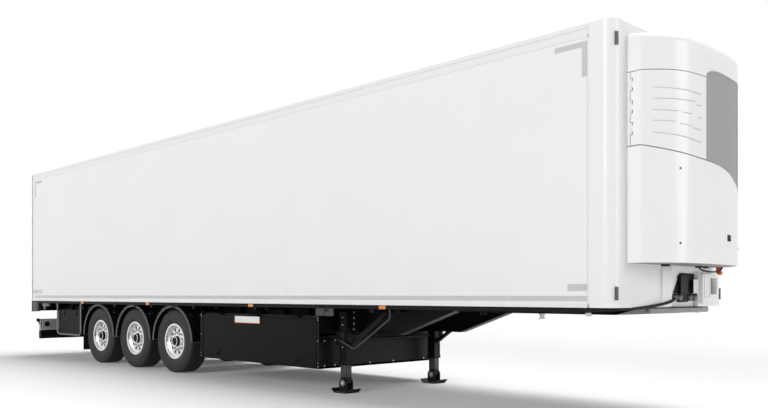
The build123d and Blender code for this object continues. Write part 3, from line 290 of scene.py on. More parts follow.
@dataclass(frozen=True)
class ChassisPaint(Finish):
    """Satin paint on steel: a fine peel, dust where it faces up, and scuffs."""

    dust: Colour = (0.1, 0.095, 0.088)
    dusting: float = 0.22

    def lay(self, sheet: ShaderSheet) -> None:
        """Lay the paint on a material."""
        patches = sheet.noise(7.0, 6.0)
        dust = self.dusting * sheet.facing_up() * patches.between(0.25, 0.75)
        scuffs = 0.5 * (sheet.noise(34.0, 8.0) > 0.7)
        worn = sheet.mix(scuffs, self.colour, scaled(self.colour, 2.2))
        sheet.feed({
            "Base Color": sheet.mix(dust, worn, self.dust),
            "Roughness": self.roughness + 0.25 * dust + 0.16 * (patches - 0.5),
        })
        sheet.bump(sheet.noise(420.0, 2.0), 0.00012)


@dataclass(frozen=True)
class MouldedPlastic(Finish):
    """Moulded plastic with a pebbled grain."""

    grain: float = 900.0
    depth: float = 0.00025

    def lay(self, sheet: ShaderSheet) -> None:
        """Lay the plastic on a material."""
        haze = sheet.noise(9.0, 5.0).between(0.35, 0.75)
        sheet.feed({
            "Base Color": sheet.mix(0.5 * haze, self.colour, scaled(self.colour, 1.35)),
            "Roughness": self.roughness + 0.14 * haze,
        })
        sheet.bump(sheet.cells(self.grain), self.depth, 0.6)


@dataclass(frozen=True)
class SoftRubber(Finish):
    """Black rubber, dull, with road dust in patches."""

    dust: Colour = (0.055, 0.052, 0.048)

    def lay(self, sheet: ShaderSheet) -> None:
        """Lay the rubber on a material."""
        dust = 0.35 * sheet.noise(18.0, 6.0).between(0.45, 0.8)
        sheet.feed({
            "Base Color": sheet.mix(dust, self.colour, self.dust),
            "Roughness": self.roughness + 0.2 * dust,
        })
        sheet.bump(sheet.noise(500.0, 3.0), 0.0004, 0.5)


@dataclass(frozen=True)
class TyreRubber(Finish):
    """A road tyre: a grey bloom on the tread, darker sidewalls, and fine rings round the hub."""

    bloom: Colour = (0.036, 0.035, 0.034)
    tread_radius: float = 0.515

    def lay(self, sheet: ShaderSheet) -> None:
        """Lay the tyre's rubber on a material."""
        radius = sheet.hub_radius()
        tread = radius.between(self.tread_radius - 0.03, self.tread_radius)
        patches = sheet.noise(22.0, 5.0)
        bloom = (0.25 + 0.55 * tread) * patches.between(0.3, 0.75)
        rings = (radius * 900.0).sine() * (1.0 - tread)
        sheet.feed({
            "Base Color": sheet.mix(bloom, self.colour, self.bloom),
            "Roughness": self.roughness + 0.2 * bloom,
        })
        sheet.bump(0.6 * rings + sheet.noise(380.0, 3.0), 0.0005, 0.6)


@dataclass(frozen=True)
class BareMetal(Finish):
    """Bare metal with fine scratches along its grain, or round the hub on a wheel."""

    grain: Grain = Grain.LONG
    bright: float = 1.12

    def lay(self, sheet: ShaderSheet) -> None:
        """Lay the metal on a material."""
        if self.grain is Grain.ROUND:
            sockets = {"W": sheet.hub_radius(), "Scale": 900.0, "Detail": 3.0}
            scratches = sheet.node("ShaderNodeTexNoise", {"noise_dimensions": "1D"}, sockets)
        else:
            scratches = sheet.noise(1.0, 3.0, sheet.stretched(sheet.places(), self.grain.value))
        cloud = sheet.noise(6.0, 4.0)
        bright = scaled(self.colour, self.bright)
        sheet.feed({
            "Base Color": sheet.mix(cloud.between(0.3, 0.7), self.colour, bright),
            "Metallic": 1.0,
            "Roughness": self.roughness + 0.22 * (scratches - 0.5) + 0.12 * (cloud - 0.5),
        })
        sheet.bump(scratches, 0.00008)


@dataclass(frozen=True)
class ZincCoat(Finish):
    """Galvanised steel with its spangle."""

    def lay(self, sheet: ShaderSheet) -> None:
        """Lay the zinc on a material."""
        spangle = sheet.axis(sheet.cells(55.0, output="Color"), "X")
        sheet.feed({
            "Base Color": sheet.mix(spangle, scaled(self.colour, 0.78), self.colour),
            "Metallic": 0.75,
            "Roughness": self.roughness + 0.2 * spangle,
        })
        sheet.bump(sheet.noise(220.0, 3.0), 0.0001)


@dataclass(frozen=True)
class RibbedLens(Finish):
    """A lamp lens with moulded flutes under a clear face."""

    pitch: float = 0.009

    def lay(self, sheet: ShaderSheet) -> None:
        """Lay the lens on a material."""
        places = sheet.places()
        along = sheet.axis(places, "X") + sheet.axis(places, "Y")
        flutes = (along * (FULL_TURN / self.pitch)).sine()
        sheet.feed({
            "Base Color": sheet.mix(0.5 + 0.5 * flutes, scaled(self.colour, 0.62), self.colour),
            "Roughness": self.roughness + 0.06 * sheet.noise(60.0),
            "Coat Weight": 1.0,
            "Coat Roughness": 0.05,
        })
        sheet.bump(flutes, 0.0006)


@dataclass(frozen=True)
class PrismTape(Finish):
    """Grey marking tape of small prism cells in larger sealed fields."""

    def lay(self, sheet: ShaderSheet) -> None:
        """Lay the tape on a material."""
        fields = sheet.cells(70.0, "DISTANCE_TO_EDGE") > 0.0012
        prisms = sheet.axis(sheet.cells(620.0, output="Color"), "Y")
        bright = sheet.mix(prisms, scaled(self.colour, 0.86), scaled(self.colour, 1.1))
        sheet.feed({
            "Base Color": sheet.mix(fields, scaled(self.colour, 1.2), bright),
            "Roughness": self.roughness + 0.15 * prisms,
            "Coat Weight": 0.5,
            "Coat Roughness": 0.1,
        })
        sheet.bump(prisms, 0.00015)


@dataclass(frozen=True)
class WireMesh(Finish):
    """Fine woven mesh with its gaps painted dark, as painted shade of the space behind it: wires
    cross at a small pitch.
    """

    pitch: float = 0.011
    # painted shade: the colour of the gaps between the wires
    gap_shade: Colour = (0.1, 0.1, 0.105)

    def lay(self, sheet: ShaderSheet) -> None:
        """Lay the mesh on a material."""
        places = sheet.places()
        turn = FULL_TURN / self.pitch
        across = (sheet.axis(places, "Y") * turn).sine()
        up = (sheet.axis(places, "Z") * turn).sine()
        wires = (across.between(-0.1, 0.5) + up.between(-0.1, 0.5)).between(0.2, 0.9)
        tone = sheet.noise(5.0, 3.0)
        wire = sheet.mix(tone, scaled(self.colour, 0.9), self.colour)
        sheet.feed({
            "Base Color": sheet.mix(wires, self.gap_shade, wire),
            "Roughness": self.roughness + 0.1 * tone,
            "Metallic": 0.35,
        })
        sheet.bump(wires, 0.002)


class Palette:
    """The trailer's finishes."""

    SKIN = PanelSkin("box_skin", "box_white", (0.86, 0.862, 0.865), 0.42, 0.28)
    RAIL = PanelSkin("rail_paint", "rail_white", (0.83, 0.832, 0.835), 0.34, wave=0.0001, film=0.08)
    COWL = PanelSkin("cowl_skin", "unit_white", (0.86, 0.862, 0.865), 0.42, 0.28, wave=0.0004,
                     film=0.0)
    CHASSIS = ChassisPaint("chassis_paint", "chassis_black", (0.0042, 0.0043, 0.0045), 0.44, 0.14,
                           dusting=0.12)
    LID = ChassisPaint("lid_paint", "lid_black", (0.003, 0.0031, 0.0032), 0.44, 0.1, dusting=0.05)
    PLASTIC = MouldedPlastic("moulded_black", "black_plastic", (0.0045, 0.0045, 0.0047), 0.46, 0.14)
    GUARD = MouldedPlastic("guard_black", "black_plastic", (0.008, 0.008, 0.0085), 0.22, 0.5,
                           grain=300.0, depth=0.0001)
    RUBBER = SoftRubber("black_rubber", "black_rubber", (0.01, 0.01, 0.01), 0.72, 0.2)
    TYRE = TyreRubber("tyre_rubber", "tyre", (0.027, 0.027, 0.027), 0.6, 0.3)
    WHEEL = BareMetal("wheel_alloy", "wheel_aluminium", (0.8, 0.805, 0.81), 0.2,
                      grain=Grain.ROUND)
    RIM = BareMetal("rim_alloy", "wheel_aluminium", (0.74, 0.745, 0.75), 0.26)
    ALLOY = BareMetal("tank_alloy", "tank_aluminium", (0.6, 0.605, 0.61), 0.34)
    DECK = BareMetal("deck_alloy", "floor_metal", (0.55, 0.555, 0.56), 0.42)
    STEEL = BareMetal("rod_steel", "rod_steel", (0.56, 0.56, 0.565), 0.3, grain=Grain.UP)
    ZINC = ZincCoat("zinc_coat", "rod_steel", (0.56, 0.57, 0.58), 0.38)
    HOUSING = MouldedPlastic("lamp_housing", "lamp_grey", (0.52, 0.525, 0.52), 0.44, grain=700.0)
    RED = RibbedLens("red_lens", "lens_red", (0.42, 0.012, 0.012), 0.16)
    AMBER = RibbedLens("amber_lens", "lens_amber", (0.8, 0.24, 0.015), 0.16)
    SMOKE = RibbedLens("smoke_lens", "lens_dark", (0.03, 0.031, 0.034), 0.14)
    CLEAR = RibbedLens("clear_lens", "lamp_grey", (0.72, 0.73, 0.74), 0.12)
    TAPE = PrismTape("marking_tape", "lamp_grey", (0.56, 0.565, 0.57), 0.36)
    MESH = WireMesh("grille_mesh", "grille_grey", (0.4, 0.4, 0.405), 0.45)
    INNER = ChassisPaint("unit_inner", "unit_metal", (0.22, 0.225, 0.23), 0.45, dusting=0.1)
    # painted highlight: the mudguards' black plastic lips are coloured light grey as the sheen
    # along their edges
    LIP_HIGHLIGHT = MouldedPlastic("guard_lip_highlight", "black_plastic", (0.105, 0.105, 0.107), 0.26, 0.5,
                         grain=300.0, depth=0.0001)
    DULL = ZincCoat("dull_steel", "rod_steel", (0.085, 0.086, 0.088), 0.46, 0.35)
    FRAME = ZincCoat("tube_frame", "rod_steel", (0.2, 0.203, 0.206), 0.42)
    CARRIER = MouldedPlastic("lamp_carrier", "lamp_grey", (0.46, 0.465, 0.465), 0.44, grain=700.0)
    COVER = SoftRubber("corner_cover", "black_rubber", (0.062, 0.062, 0.063), 0.4, 0.4)
    APRON = ChassisPaint("neck_apron", "lamp_grey", (0.26, 0.25, 0.235), 0.5, dusting=0.15)
    # painted shade: the grey lines under the ribs of the cooling unit's door
    SLOT = Finish("rib_slot", "unit_metal", (0.56, 0.562, 0.565), 0.55, 0.3)
    PLATE = Finish("bare_plate", "lamp_grey", (0.58, 0.585, 0.59), 0.4)
    LABEL = Finish("blank_label", "lamp_grey", (0.8, 0.8, 0.79), 0.38)
    ORANGE = Finish("orange_edge", "lens_amber", (0.62, 0.12, 0.02), 0.42)
    GASKET = SoftRubber("door_gasket", "black_rubber", (0.014, 0.014, 0.0145), 0.62, 0.25)


class Shape:
    """A mesh in the making, in metres in the trailer's frame, shaped by bmesh operators."""

    def __init__(self) -> None:
        """Start with an empty mesh."""
        self.bm = bmesh.new()

    def _round(self, parts: Iterable, links: str, width: float, segments: int) -> None:
        """Round every edge that these vertices or faces list under the given attribute."""
        edges = list({edge for part in parts for edge in getattr(part, links)})
        bmesh.ops.bevel(self.bm, geom=edges, offset=width, offset_type="OFFSET", affect="EDGES",
                        segments=segments, profile=0.5, material=-1)

    def block(self, low: Point, high: Point, bevel: float = 0.0, segments: int = 2) -> Shape:
        """Add a box.

        Args:
            low: one corner.
            high: the opposite corner.
            bevel: the width that its edges are rounded by.
            segments: the steps of that rounding.

        Returns:
            The shape itself.
        """
        first, second = Vector(low), Vector(high)
        size = Vector(abs(part) for part in second - first)
        place = Matrix.LocRotScale((first + second) / 2, None, size)
        verts = bmesh.ops.create_cube(self.bm, size=1.0, matrix=place)["verts"]
        if bevel:
            self._round(verts, "link_edges", bevel, segments)
        return self

    def along(self, rows: Iterable[Flat], near: float, far: float, bevel: float = 0.0,
              segments: int = 1) -> Shape:
        """Add boxes that lie along a side of the trailer.

        Args:
            rows: each box's first X, low Z, other X and high Z.
            near: the Y of one face.
            far: the Y of the other face.
            bevel: the width that the edges are rounded by.
            segments: the steps of that rounding.

        Returns:
            The shape itself.
        """
        for first, low, other, high in rows:
            self.block((first, near, low), (other, far, high), bevel, segments)
        return self

    def across(self, rows: Iterable[Flat], near: float, far: float, bevel: float = 0.0,
               segments: int = 1, sign: int = 1) -> Shape:
        """Add boxes that stand across the trailer.

        Args:
            rows: each box's first Y, low Z, other Y and high Z.
            near: the X of one face.
            far: the X of the other face.
            bevel: the width that the edges are rounded by.
            segments: the steps of that rounding.
            sign: -1 to turn every Y over to the right side.

        Returns:
            The shape itself.
        """
        for first, low, other, high in rows:
            self.block((near, sign * first, low), (far, sign * other, high), bevel, segments)
        return self

    def rod(self, start: Point, end: Point, radius: float, sides: int = 24,
            end_radius: Optional[float] = None, bevel: float = 0.0) -> Shape:
        """Add a round or many-sided bar.

        Args:
            start: the middle of its first end.
            end: the middle of its other end.
            radius: its radius.
            sides: its number of sides, 6 for a nut.
            end_radius: its radius at the other end, where that differs.
            bevel: the width that its end edges are rounded by.

        Returns:
            The shape itself.
        """
        first, second = Vector(start), Vector(end)
        along = second - first
        turn = along.to_track_quat("Z", "Y").to_matrix().to_4x4()
        place = Matrix.Translation((first + second) / 2) @ turn
        far = radius if end_radius is None else end_radius
        verts = bmesh.ops.create_cone(self.bm, cap_ends=True, segments=sides, radius1=radius,
                                      radius2=far, depth=along.length, matrix=place)["verts"]
        if bevel:
            faces = {face for vert in verts for face in vert.link_faces}
            self._round([face for face in faces if len(face.verts) == sides], "edges", bevel, 2)
        return self

    def studs(self, spots: Iterable[Point], along: Point, radius: float, sides: int,
              end_radius: Optional[float] = None, bevel: float = 0.0) -> Shape:
        """Add equal short bars.

        Args:
            spots: the middle of each bar's first end.
            along: the way to its other end.
            radius: the radius.
            sides: the number of sides.
            end_radius: the radius at the other end, where that differs.
            bevel: the width that the end edges are rounded by.

        Returns:
            The shape itself.
        """
        for spot in spots:
            end = tuple(part + step for part, step in zip(spot, along))
            self.rod(spot, end, radius, sides, end_radius, bevel)
        return self

    def turned(self, profile: Sequence[Pair], centre: Point, axis: Point,
               steps: int, turn: float = FULL_TURN, start: Optional[Point] = None) -> Shape:
        """Spin a profile round an axis.

        Args:
            profile: points given as (along the axis, out from it).
            centre: a point on the axis, from which the profile is measured.
            axis: the direction of the axis.
            steps: the number of steps.
            turn: the angle of the spin.
            start: the outward direction that the profile starts from.

        Returns:
            The shape itself.
        """
        line = Vector(axis).normalized()
        out = Vector(start) if start else line.orthogonal().normalized()
        middle = Vector(centre)
        verts = [self.bm.verts.new(middle + line * along + out * radius)
                 for along, radius in profile]
        edges = [self.bm.edges.new(pair) for pair in zip(verts, verts[1:])]
        bmesh.ops.spin(self.bm, geom=verts + edges, cent=middle, axis=line, angle=turn,
                       steps=steps, use_merge=turn == FULL_TURN)
        bmesh.ops.remove_doubles(self.bm, verts=self.bm.verts, dist=WELD)
        return self

    def drawn(self, outline: Sequence[Point], depth: Point, bevel: float = 0.0) -> Shape:
        """Extrude a flat outline.

        Args:
            outline: its corners in order.
            depth: the way and distance that it is extruded.
            bevel: the width that its edges are rounded by.

        Returns:
            The shape itself.
        """
        verts = [self.bm.verts.new(point) for point in outline]
        face = self.bm.faces.new(verts)
        made = bmesh.ops.extrude_face_region(self.bm, geom=[face])["geom"]
        far = [part for part in made if isinstance(part, bmesh.types.BMVert)]
        bmesh.ops.translate(self.bm, verts=far, vec=depth)
        if bevel:
            self._round(verts + far, "link_edges", bevel, 2)
        return self

    def closed(self) -> Shape:
        """Close the open ends of a part spin."""
        open_edges = [edge for edge in self.bm.edges if edge.is_boundary]
        bmesh.ops.holes_fill(self.bm, edges=open_edges, sides=0)
        return self

    def mirrored(self) -> Shape:
        """Add the same on the other side of the trailer."""
        geom = self.bm.verts[:] + self.bm.edges[:] + self.bm.faces[:]
        bmesh.ops.mirror(self.bm, geom=geom, axis="Y", merge_dist=0.1 * WELD)
        return self

    def mark_hub(self, centre: Point) -> Shape:
        """Store every vertex's place measured from a wheel's hub."""
        layer = self.bm.verts.layers.float_vector.new(HUB_PLACE)
        for vert in self.bm.verts:
            vert[layer] = vert.co - Vector(centre)
        return self

    def mesh(self, name: str, sharp: float) -> bpy.types.Mesh:
        """Finish the mesh.

        Args:
            name: its name.
            sharp: the angle, in degrees, past which an edge stays sharp.

        Returns:
            The mesh.
        """
        bmesh.ops.recalc_face_normals(self.bm, faces=self.bm.faces)
        mesh = bpy.data.meshes.new(name)
        self.bm.to_mesh(mesh)
        self.bm.free()
        mesh.shade_smooth()
        mesh.set_sharp_from_angle(angle=math.radians(sharp))
        return mesh


class Assembly:
    """A sub-assembly of the trailer, with the pieces that it adds to the CAD nodes."""

    def __post_init__(self) -> None:
        """Start with no pieces."""
        self.pieces: List[bpy.types.Object] = []

    def dress(self) -> None:
        """Give the CAD nodes their finishes; some sub-assemblies have none."""

    def build(self) -> None:
        """Build the pieces."""
        raise NotImplementedError

    def coat(self, finish: Finish, *nodes: str) -> None:
        """Give CAD nodes a finish.

        Args:
            finish: the finish.
            nodes: the nodes' names.
        """
        for node in nodes:
            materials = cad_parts[node].data.materials
            materials.clear()
            materials.append(finish.material())

    def settle(self, name: str, data: bpy.types.ID, finish: Finish, body: str) -> bpy.types.Object:
        """Put a piece in the scene.

        Args:
            name: the piece's name.
            data: its mesh or curve.
            finish: its finish.
            body: the body that it moves with.

        Returns:
            The piece.
        """
        data.materials.append(finish.material())
        piece = bpy.data.objects.new(name, data)
        bpy.context.scene.collection.objects.link(piece)
        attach(piece, body)
        self.pieces.append(piece)
        return piece

    def add(self, name: str, shape: Shape, finish: Finish, body: str = TRAILER,
            slot: Optional[str] = None, sharp: float = 32.0) -> bpy.types.Object:
        """Add a shape as a piece.

        Args:
            name: the piece's name.
            shape: its shape.
            finish: its finish.
            body: the body that it moves with.
            slot: the record's material slot, where it isn't the finish's own; not used.
            sharp: the angle, in degrees, past which an edge stays sharp.

        Returns:
            The piece.
        """
        return self.settle(name, shape.mesh(name, sharp), finish, body)

    def tube(self, name: str, points: Sequence[Point], radius: float, finish: Finish,
             body: str = TRAILER) -> None:
        """Bend a round tube along a smooth line.

        Args:
            name: the piece's name.
            points: the control points of the line.
            radius: the tube's radius.
            finish: its finish.
            body: the body that it moves with.
        """
        curve = bpy.data.curves.new(name, "CURVE")
        curve.dimensions = "3D"
        curve.bevel_depth = radius
        curve.bevel_resolution = 4
        curve.resolution_u = 8
        curve.use_fill_caps = True
        spline = curve.splines.new("NURBS")
        spline.points.add(len(points) - 1)
        for spot, point in zip(spline.points, points):
            spot.co = (*point, 1.0)
        spline.order_u = 3
        spline.use_endpoint_u = True
        self.settle(name, curve, finish, body)


@dataclass
class LoadBox(Assembly):
    """The insulated box: skins, rails, marking tapes and bare plates."""

    rear_x: float = -6.8925
    frame_x: float = -6.7725
    join_x: float = 6.2575
    half: float = 1.3
    inner: float = 1.299
    body_z: float = 1.2
    roof_z: float = 4.0
    rail_z: float = 3.87
    tape_faces: Pair = (1.2995, 1.3012)
    tape_z: Pair = (1.264, 1.317)
    tape_field: float = 0.9
    tape_gap_shade: float = 0.002
    corner_inset: float = 0.018
    corner_arm: float = 0.35
    corner_band: float = 0.055
    corner_drop: float = 0.04
    plate_rows: Flats = ((6.03, 1.366, 6.245, 1.435), (-6.86, 1.361, -6.37, 1.436))
    rivets: int = 66
    rivet_inset: float = 0.05
    roof_fields: int = 6

    def dress(self) -> None:
        """Give the box's CAD nodes their finishes."""
        self.coat(Palette.SKIN, "side_wall_right", "side_wall_left", "front_wall", "box_roof")
        self.coat(Palette.RAIL, "roof_rails", "rear_frame")
        self.coat(Palette.DECK, "box_floor")
        self.coat(Palette.AMBER, "side_markers")
        self.coat(Palette.SMOKE, "front_markers")

    def tapes(self) -> None:
        """Lay the contour tape in fields along both sides, and an angle at each upper corner."""
        length = self.join_x - self.frame_x
        pitch = length / int(length / self.tape_field)
        starts = [self.frame_x + row * pitch for row in range(int(length / self.tape_field))]
        low, high = self.tape_z
        near, far = self.tape_faces
        shape = Shape().along([(start + self.tape_gap_shade, low, start + pitch - self.tape_gap_shade, high)
                               for start in starts], near, far)
        top = self.rail_z - self.corner_drop
        for end, way in ((self.join_x - self.corner_inset, -1),
                         (self.frame_x + self.corner_inset, 1)):
            arm, band = end + way * self.corner_arm, end + way * self.corner_band
            corner = ((end, top), (arm, top), (arm, top - self.corner_band),
                      (band, top - self.corner_band), (band, top - self.corner_arm),
                      (end, top - self.corner_arm))
            shape.drawn([(x, near, z) for x, z in corner], (0.0, far - near, 0.0))
        self.add("contour_tapes", shape.mirrored(), Palette.TAPE)

    def trims(self) -> None:
        """Lay the thin profiles: lower edge, upper edge, and the joint behind the front corner."""
        faces = self.inner, self.half + 0.0014
        edges = ((self.frame_x, self.body_z, self.join_x, self.body_z + 0.034),
                 (self.frame_x, self.rail_z - 0.004, self.join_x, self.rail_z + 0.012))
        joint = (self.join_x - 0.012, self.body_z, self.join_x + 0.016, self.roof_z - 0.002)
        shape = Shape().along(edges, *faces, 0.0006).along([joint], *faces, 0.0008)
        self.add("edge_profiles", shape.mirrored(), Palette.RAIL)

    def seals(self) -> None:
        """Run a thin joint line beside each front corner and the rear posts, and a grey line of
        painted shadow under the upper rail.
        """
        rows = [(x, self.body_z + 0.002, x + 0.0045, self.roof_z - 0.004)
                for x in (self.join_x - 0.0165, self.frame_x - 0.003)]
        # painted shadow: the grey line just under the upper rail stands for the shadow that the
        # rail casts
        rows.append((self.frame_x, self.rail_z - 0.0075, self.join_x, self.rail_z - 0.004))
        shape = Shape().along(rows, self.inner, self.half + 0.0009)
        self.add("joint_seals", shape.mirrored(), Palette.PLATE)

    def rear_edges(self) -> None:
        """Lay the dark strip down the rear corner of each side."""
        strip = (self.rear_x, self.body_z + 0.02, self.rear_x + 0.022, self.roof_z - 0.02)
        shape = Shape().along([strip], self.inner, self.half + 0.0015, 0.0006)
        self.add("rear_edge_strips", shape.mirrored(), Palette.PLASTIC)

    def plates(self) -> None:
        """Fix the bare plates low at both ends of each side."""
        shape = Shape().along(self.plate_rows, self.inner, self.half + 0.0014, 0.0008)
        self.add("bare_plates", shape.mirrored(), Palette.PLATE)

    def profile_rivets(self) -> None:
        """Set the rivets along the lower profile."""
        pitch = (self.join_x - self.frame_x - 2.0 * self.rivet_inset) / self.rivets
        spots = [(self.frame_x + self.rivet_inset + row * pitch, self.inner, self.body_z + 0.017)
                 for row in range(self.rivets + 1)]
        shape = Shape().studs(spots, (0.0, 0.0025, 0.0), 0.0055, 8, 0.0035)
        self.add("profile_rivets", shape.mirrored(), Palette.ZINC)

    def roof_lines(self) -> None:
        """Lay the cross joints of the roof skin."""
        pitch = (self.join_x - self.frame_x) / self.roof_fields
        shape = Shape()
        for row in range(1, self.roof_fields):
            x = self.frame_x + row * pitch
            shape.block((x - 0.03, -1.235, self.roof_z - 0.003),
                        (x + 0.03, 1.235, self.roof_z - 0.0002), 0.0006, 1)
        self.add("roof_joints", shape, Palette.RAIL)

    def build(self) -> None:
        """Build the box's pieces."""
        for make in (self.tapes, self.trims, self.seals, self.rear_edges, self.plates,
                     self.profile_rivets, self.roof_lines):
            make()


@dataclass
class RearDoors(Assembly):
    """The two rear doors with their gaskets, handles and keepers."""

    rear_x: float = -6.8925
    low: float = 1.336
    top: float = 3.894
    gasket_rows: Flats = (
        (0.0008, 1.336, 0.006, 3.894), (1.231, 1.336, 1.239, 3.894),
        (0.0008, 1.332, 1.234, 1.338), (0.0008, 3.892, 1.234, 3.898))
    rods: Profile = ((0.3702, 1.0), (1.0119, -1.0))
    guide_zs: Row = (1.496, 1.86, 2.62, 3.734)
    guide_y: float = 0.036
    guide_z: float = 0.03
    handle_z: float = 1.86
    handle: Tuple[Row, ...] = (
        (0.0, 0.3, 0.013, -0.0145, -0.0055, 0.003), (0.19, 0.31, 0.017, -0.0145, -0.0035, 0.005),
        (0.235, 0.275, 0.05, -0.0105, 0.001, 0.003))
    hinges: int = 4
    hinge_inset: float = 0.26
    bolt_ys: Row = (1.07, 1.13, 1.19)
    bolt_lift: float = 0.022
    keeper_zs: Profile = ((1.25, 1.318), (3.912, 3.972))

    def dress(self) -> None:
        """Give the doors' CAD nodes their finishes."""
        self.coat(Palette.SKIN, "rear_door_right", "rear_door_left")
        self.coat(Palette.STEEL, "lock_rods_right", "lock_rods_left")

    def gasket(self, side: Side) -> None:
        """Run a rubber lip round the edge of the door on a side."""
        front, back = self.rear_x + 0.006, self.rear_x + 0.022
        shape = Shape().across(self.gasket_rows, front, back, 0.0008, sign=side.value)
        self.add(f"door_gasket_{side.word}", shape, Palette.GASKET, f"rear_door_{side.word}")

    def fittings(self, side: Side) -> None:
        """Fit the lock handles, their hubs and the rod guides to a door.

        Args:
            side: the door's side.
        """
        shape = Shape()
        for y, way in self.rods:
            guides = [(y - self.guide_y, z - self.guide_z, y + self.guide_y, z + self.guide_z)
                      for z in self.guide_zs]
            shape.across(guides, self.rear_x - 0.0145, self.rear_x + 0.001, 0.005, 2, side.value)
            for near, far, half, back, front, bevel in self.handle:
                row = (y + way * near, self.handle_z - half, y + way * far, self.handle_z + half)
                shape.across([row], self.rear_x + back, self.rear_x + front, bevel, 2, side.value)
        self.add(f"lock_handles_{side.word}", shape, Palette.ZINC, f"rear_door_{side.word}")

    def hinge_bolts(self, side: Side) -> None:
        """Bolt the hinge straps to a door.

        Args:
            side: the door's side.
        """
        step = (self.top - self.low - 2.0 * self.hinge_inset) / (self.hinges - 1)
        heights = [self.low + self.hinge_inset + row * step for row in range(self.hinges)]
        spots = [(self.rear_x - 0.007, side.value * y, z + lift) for z in heights
                 for y in self.bolt_ys for lift in (-self.bolt_lift, self.bolt_lift)]
        shape = Shape().studs(spots, (-0.0055, 0.0, 0.0), 0.008, 12, 0.006)
        self.add(f"hinge_bolts_{side.word}", shape, Palette.STEEL, f"rear_door_{side.word}")

    def sill(self) -> None:
        """Fix the rod keepers, the sill's step plate, the header's lamps and the bare plate."""
        face = self.rear_x + 0.001
        keepers = [(y - 0.045, low, y + 0.045, high)
                   for y, _ in self.rods for low, high in self.keeper_zs]
        shape = Shape().across(keepers, self.rear_x - 0.016, self.rear_x + 0.002, 0.006, 2)
        shape.across([(0.0, 1.205, 1.2, 1.238)], self.rear_x - 0.003, face, 0.0008)
        self.add("rod_keepers", shape.mirrored(), Palette.ZINC)
        lamp = Shape().across([(1.135, 3.93, 1.245, 3.97)], self.rear_x - 0.02, face, 0.008, 2)
        self.add("header_lamps", lamp.mirrored(), Palette.RED)
        plate = Shape().across([(-0.27, 1.02, 0.27, 1.14)], self.rear_x - 0.004, face, 0.002, 2)
        self.add("bare_number_plate", plate, Palette.LABEL)

    def build(self) -> None:
        """Build the doors' pieces."""
        for side in Side:
            for make in (self.gasket, self.fittings, self.hinge_bolts):
                make(side)
        self.sill()


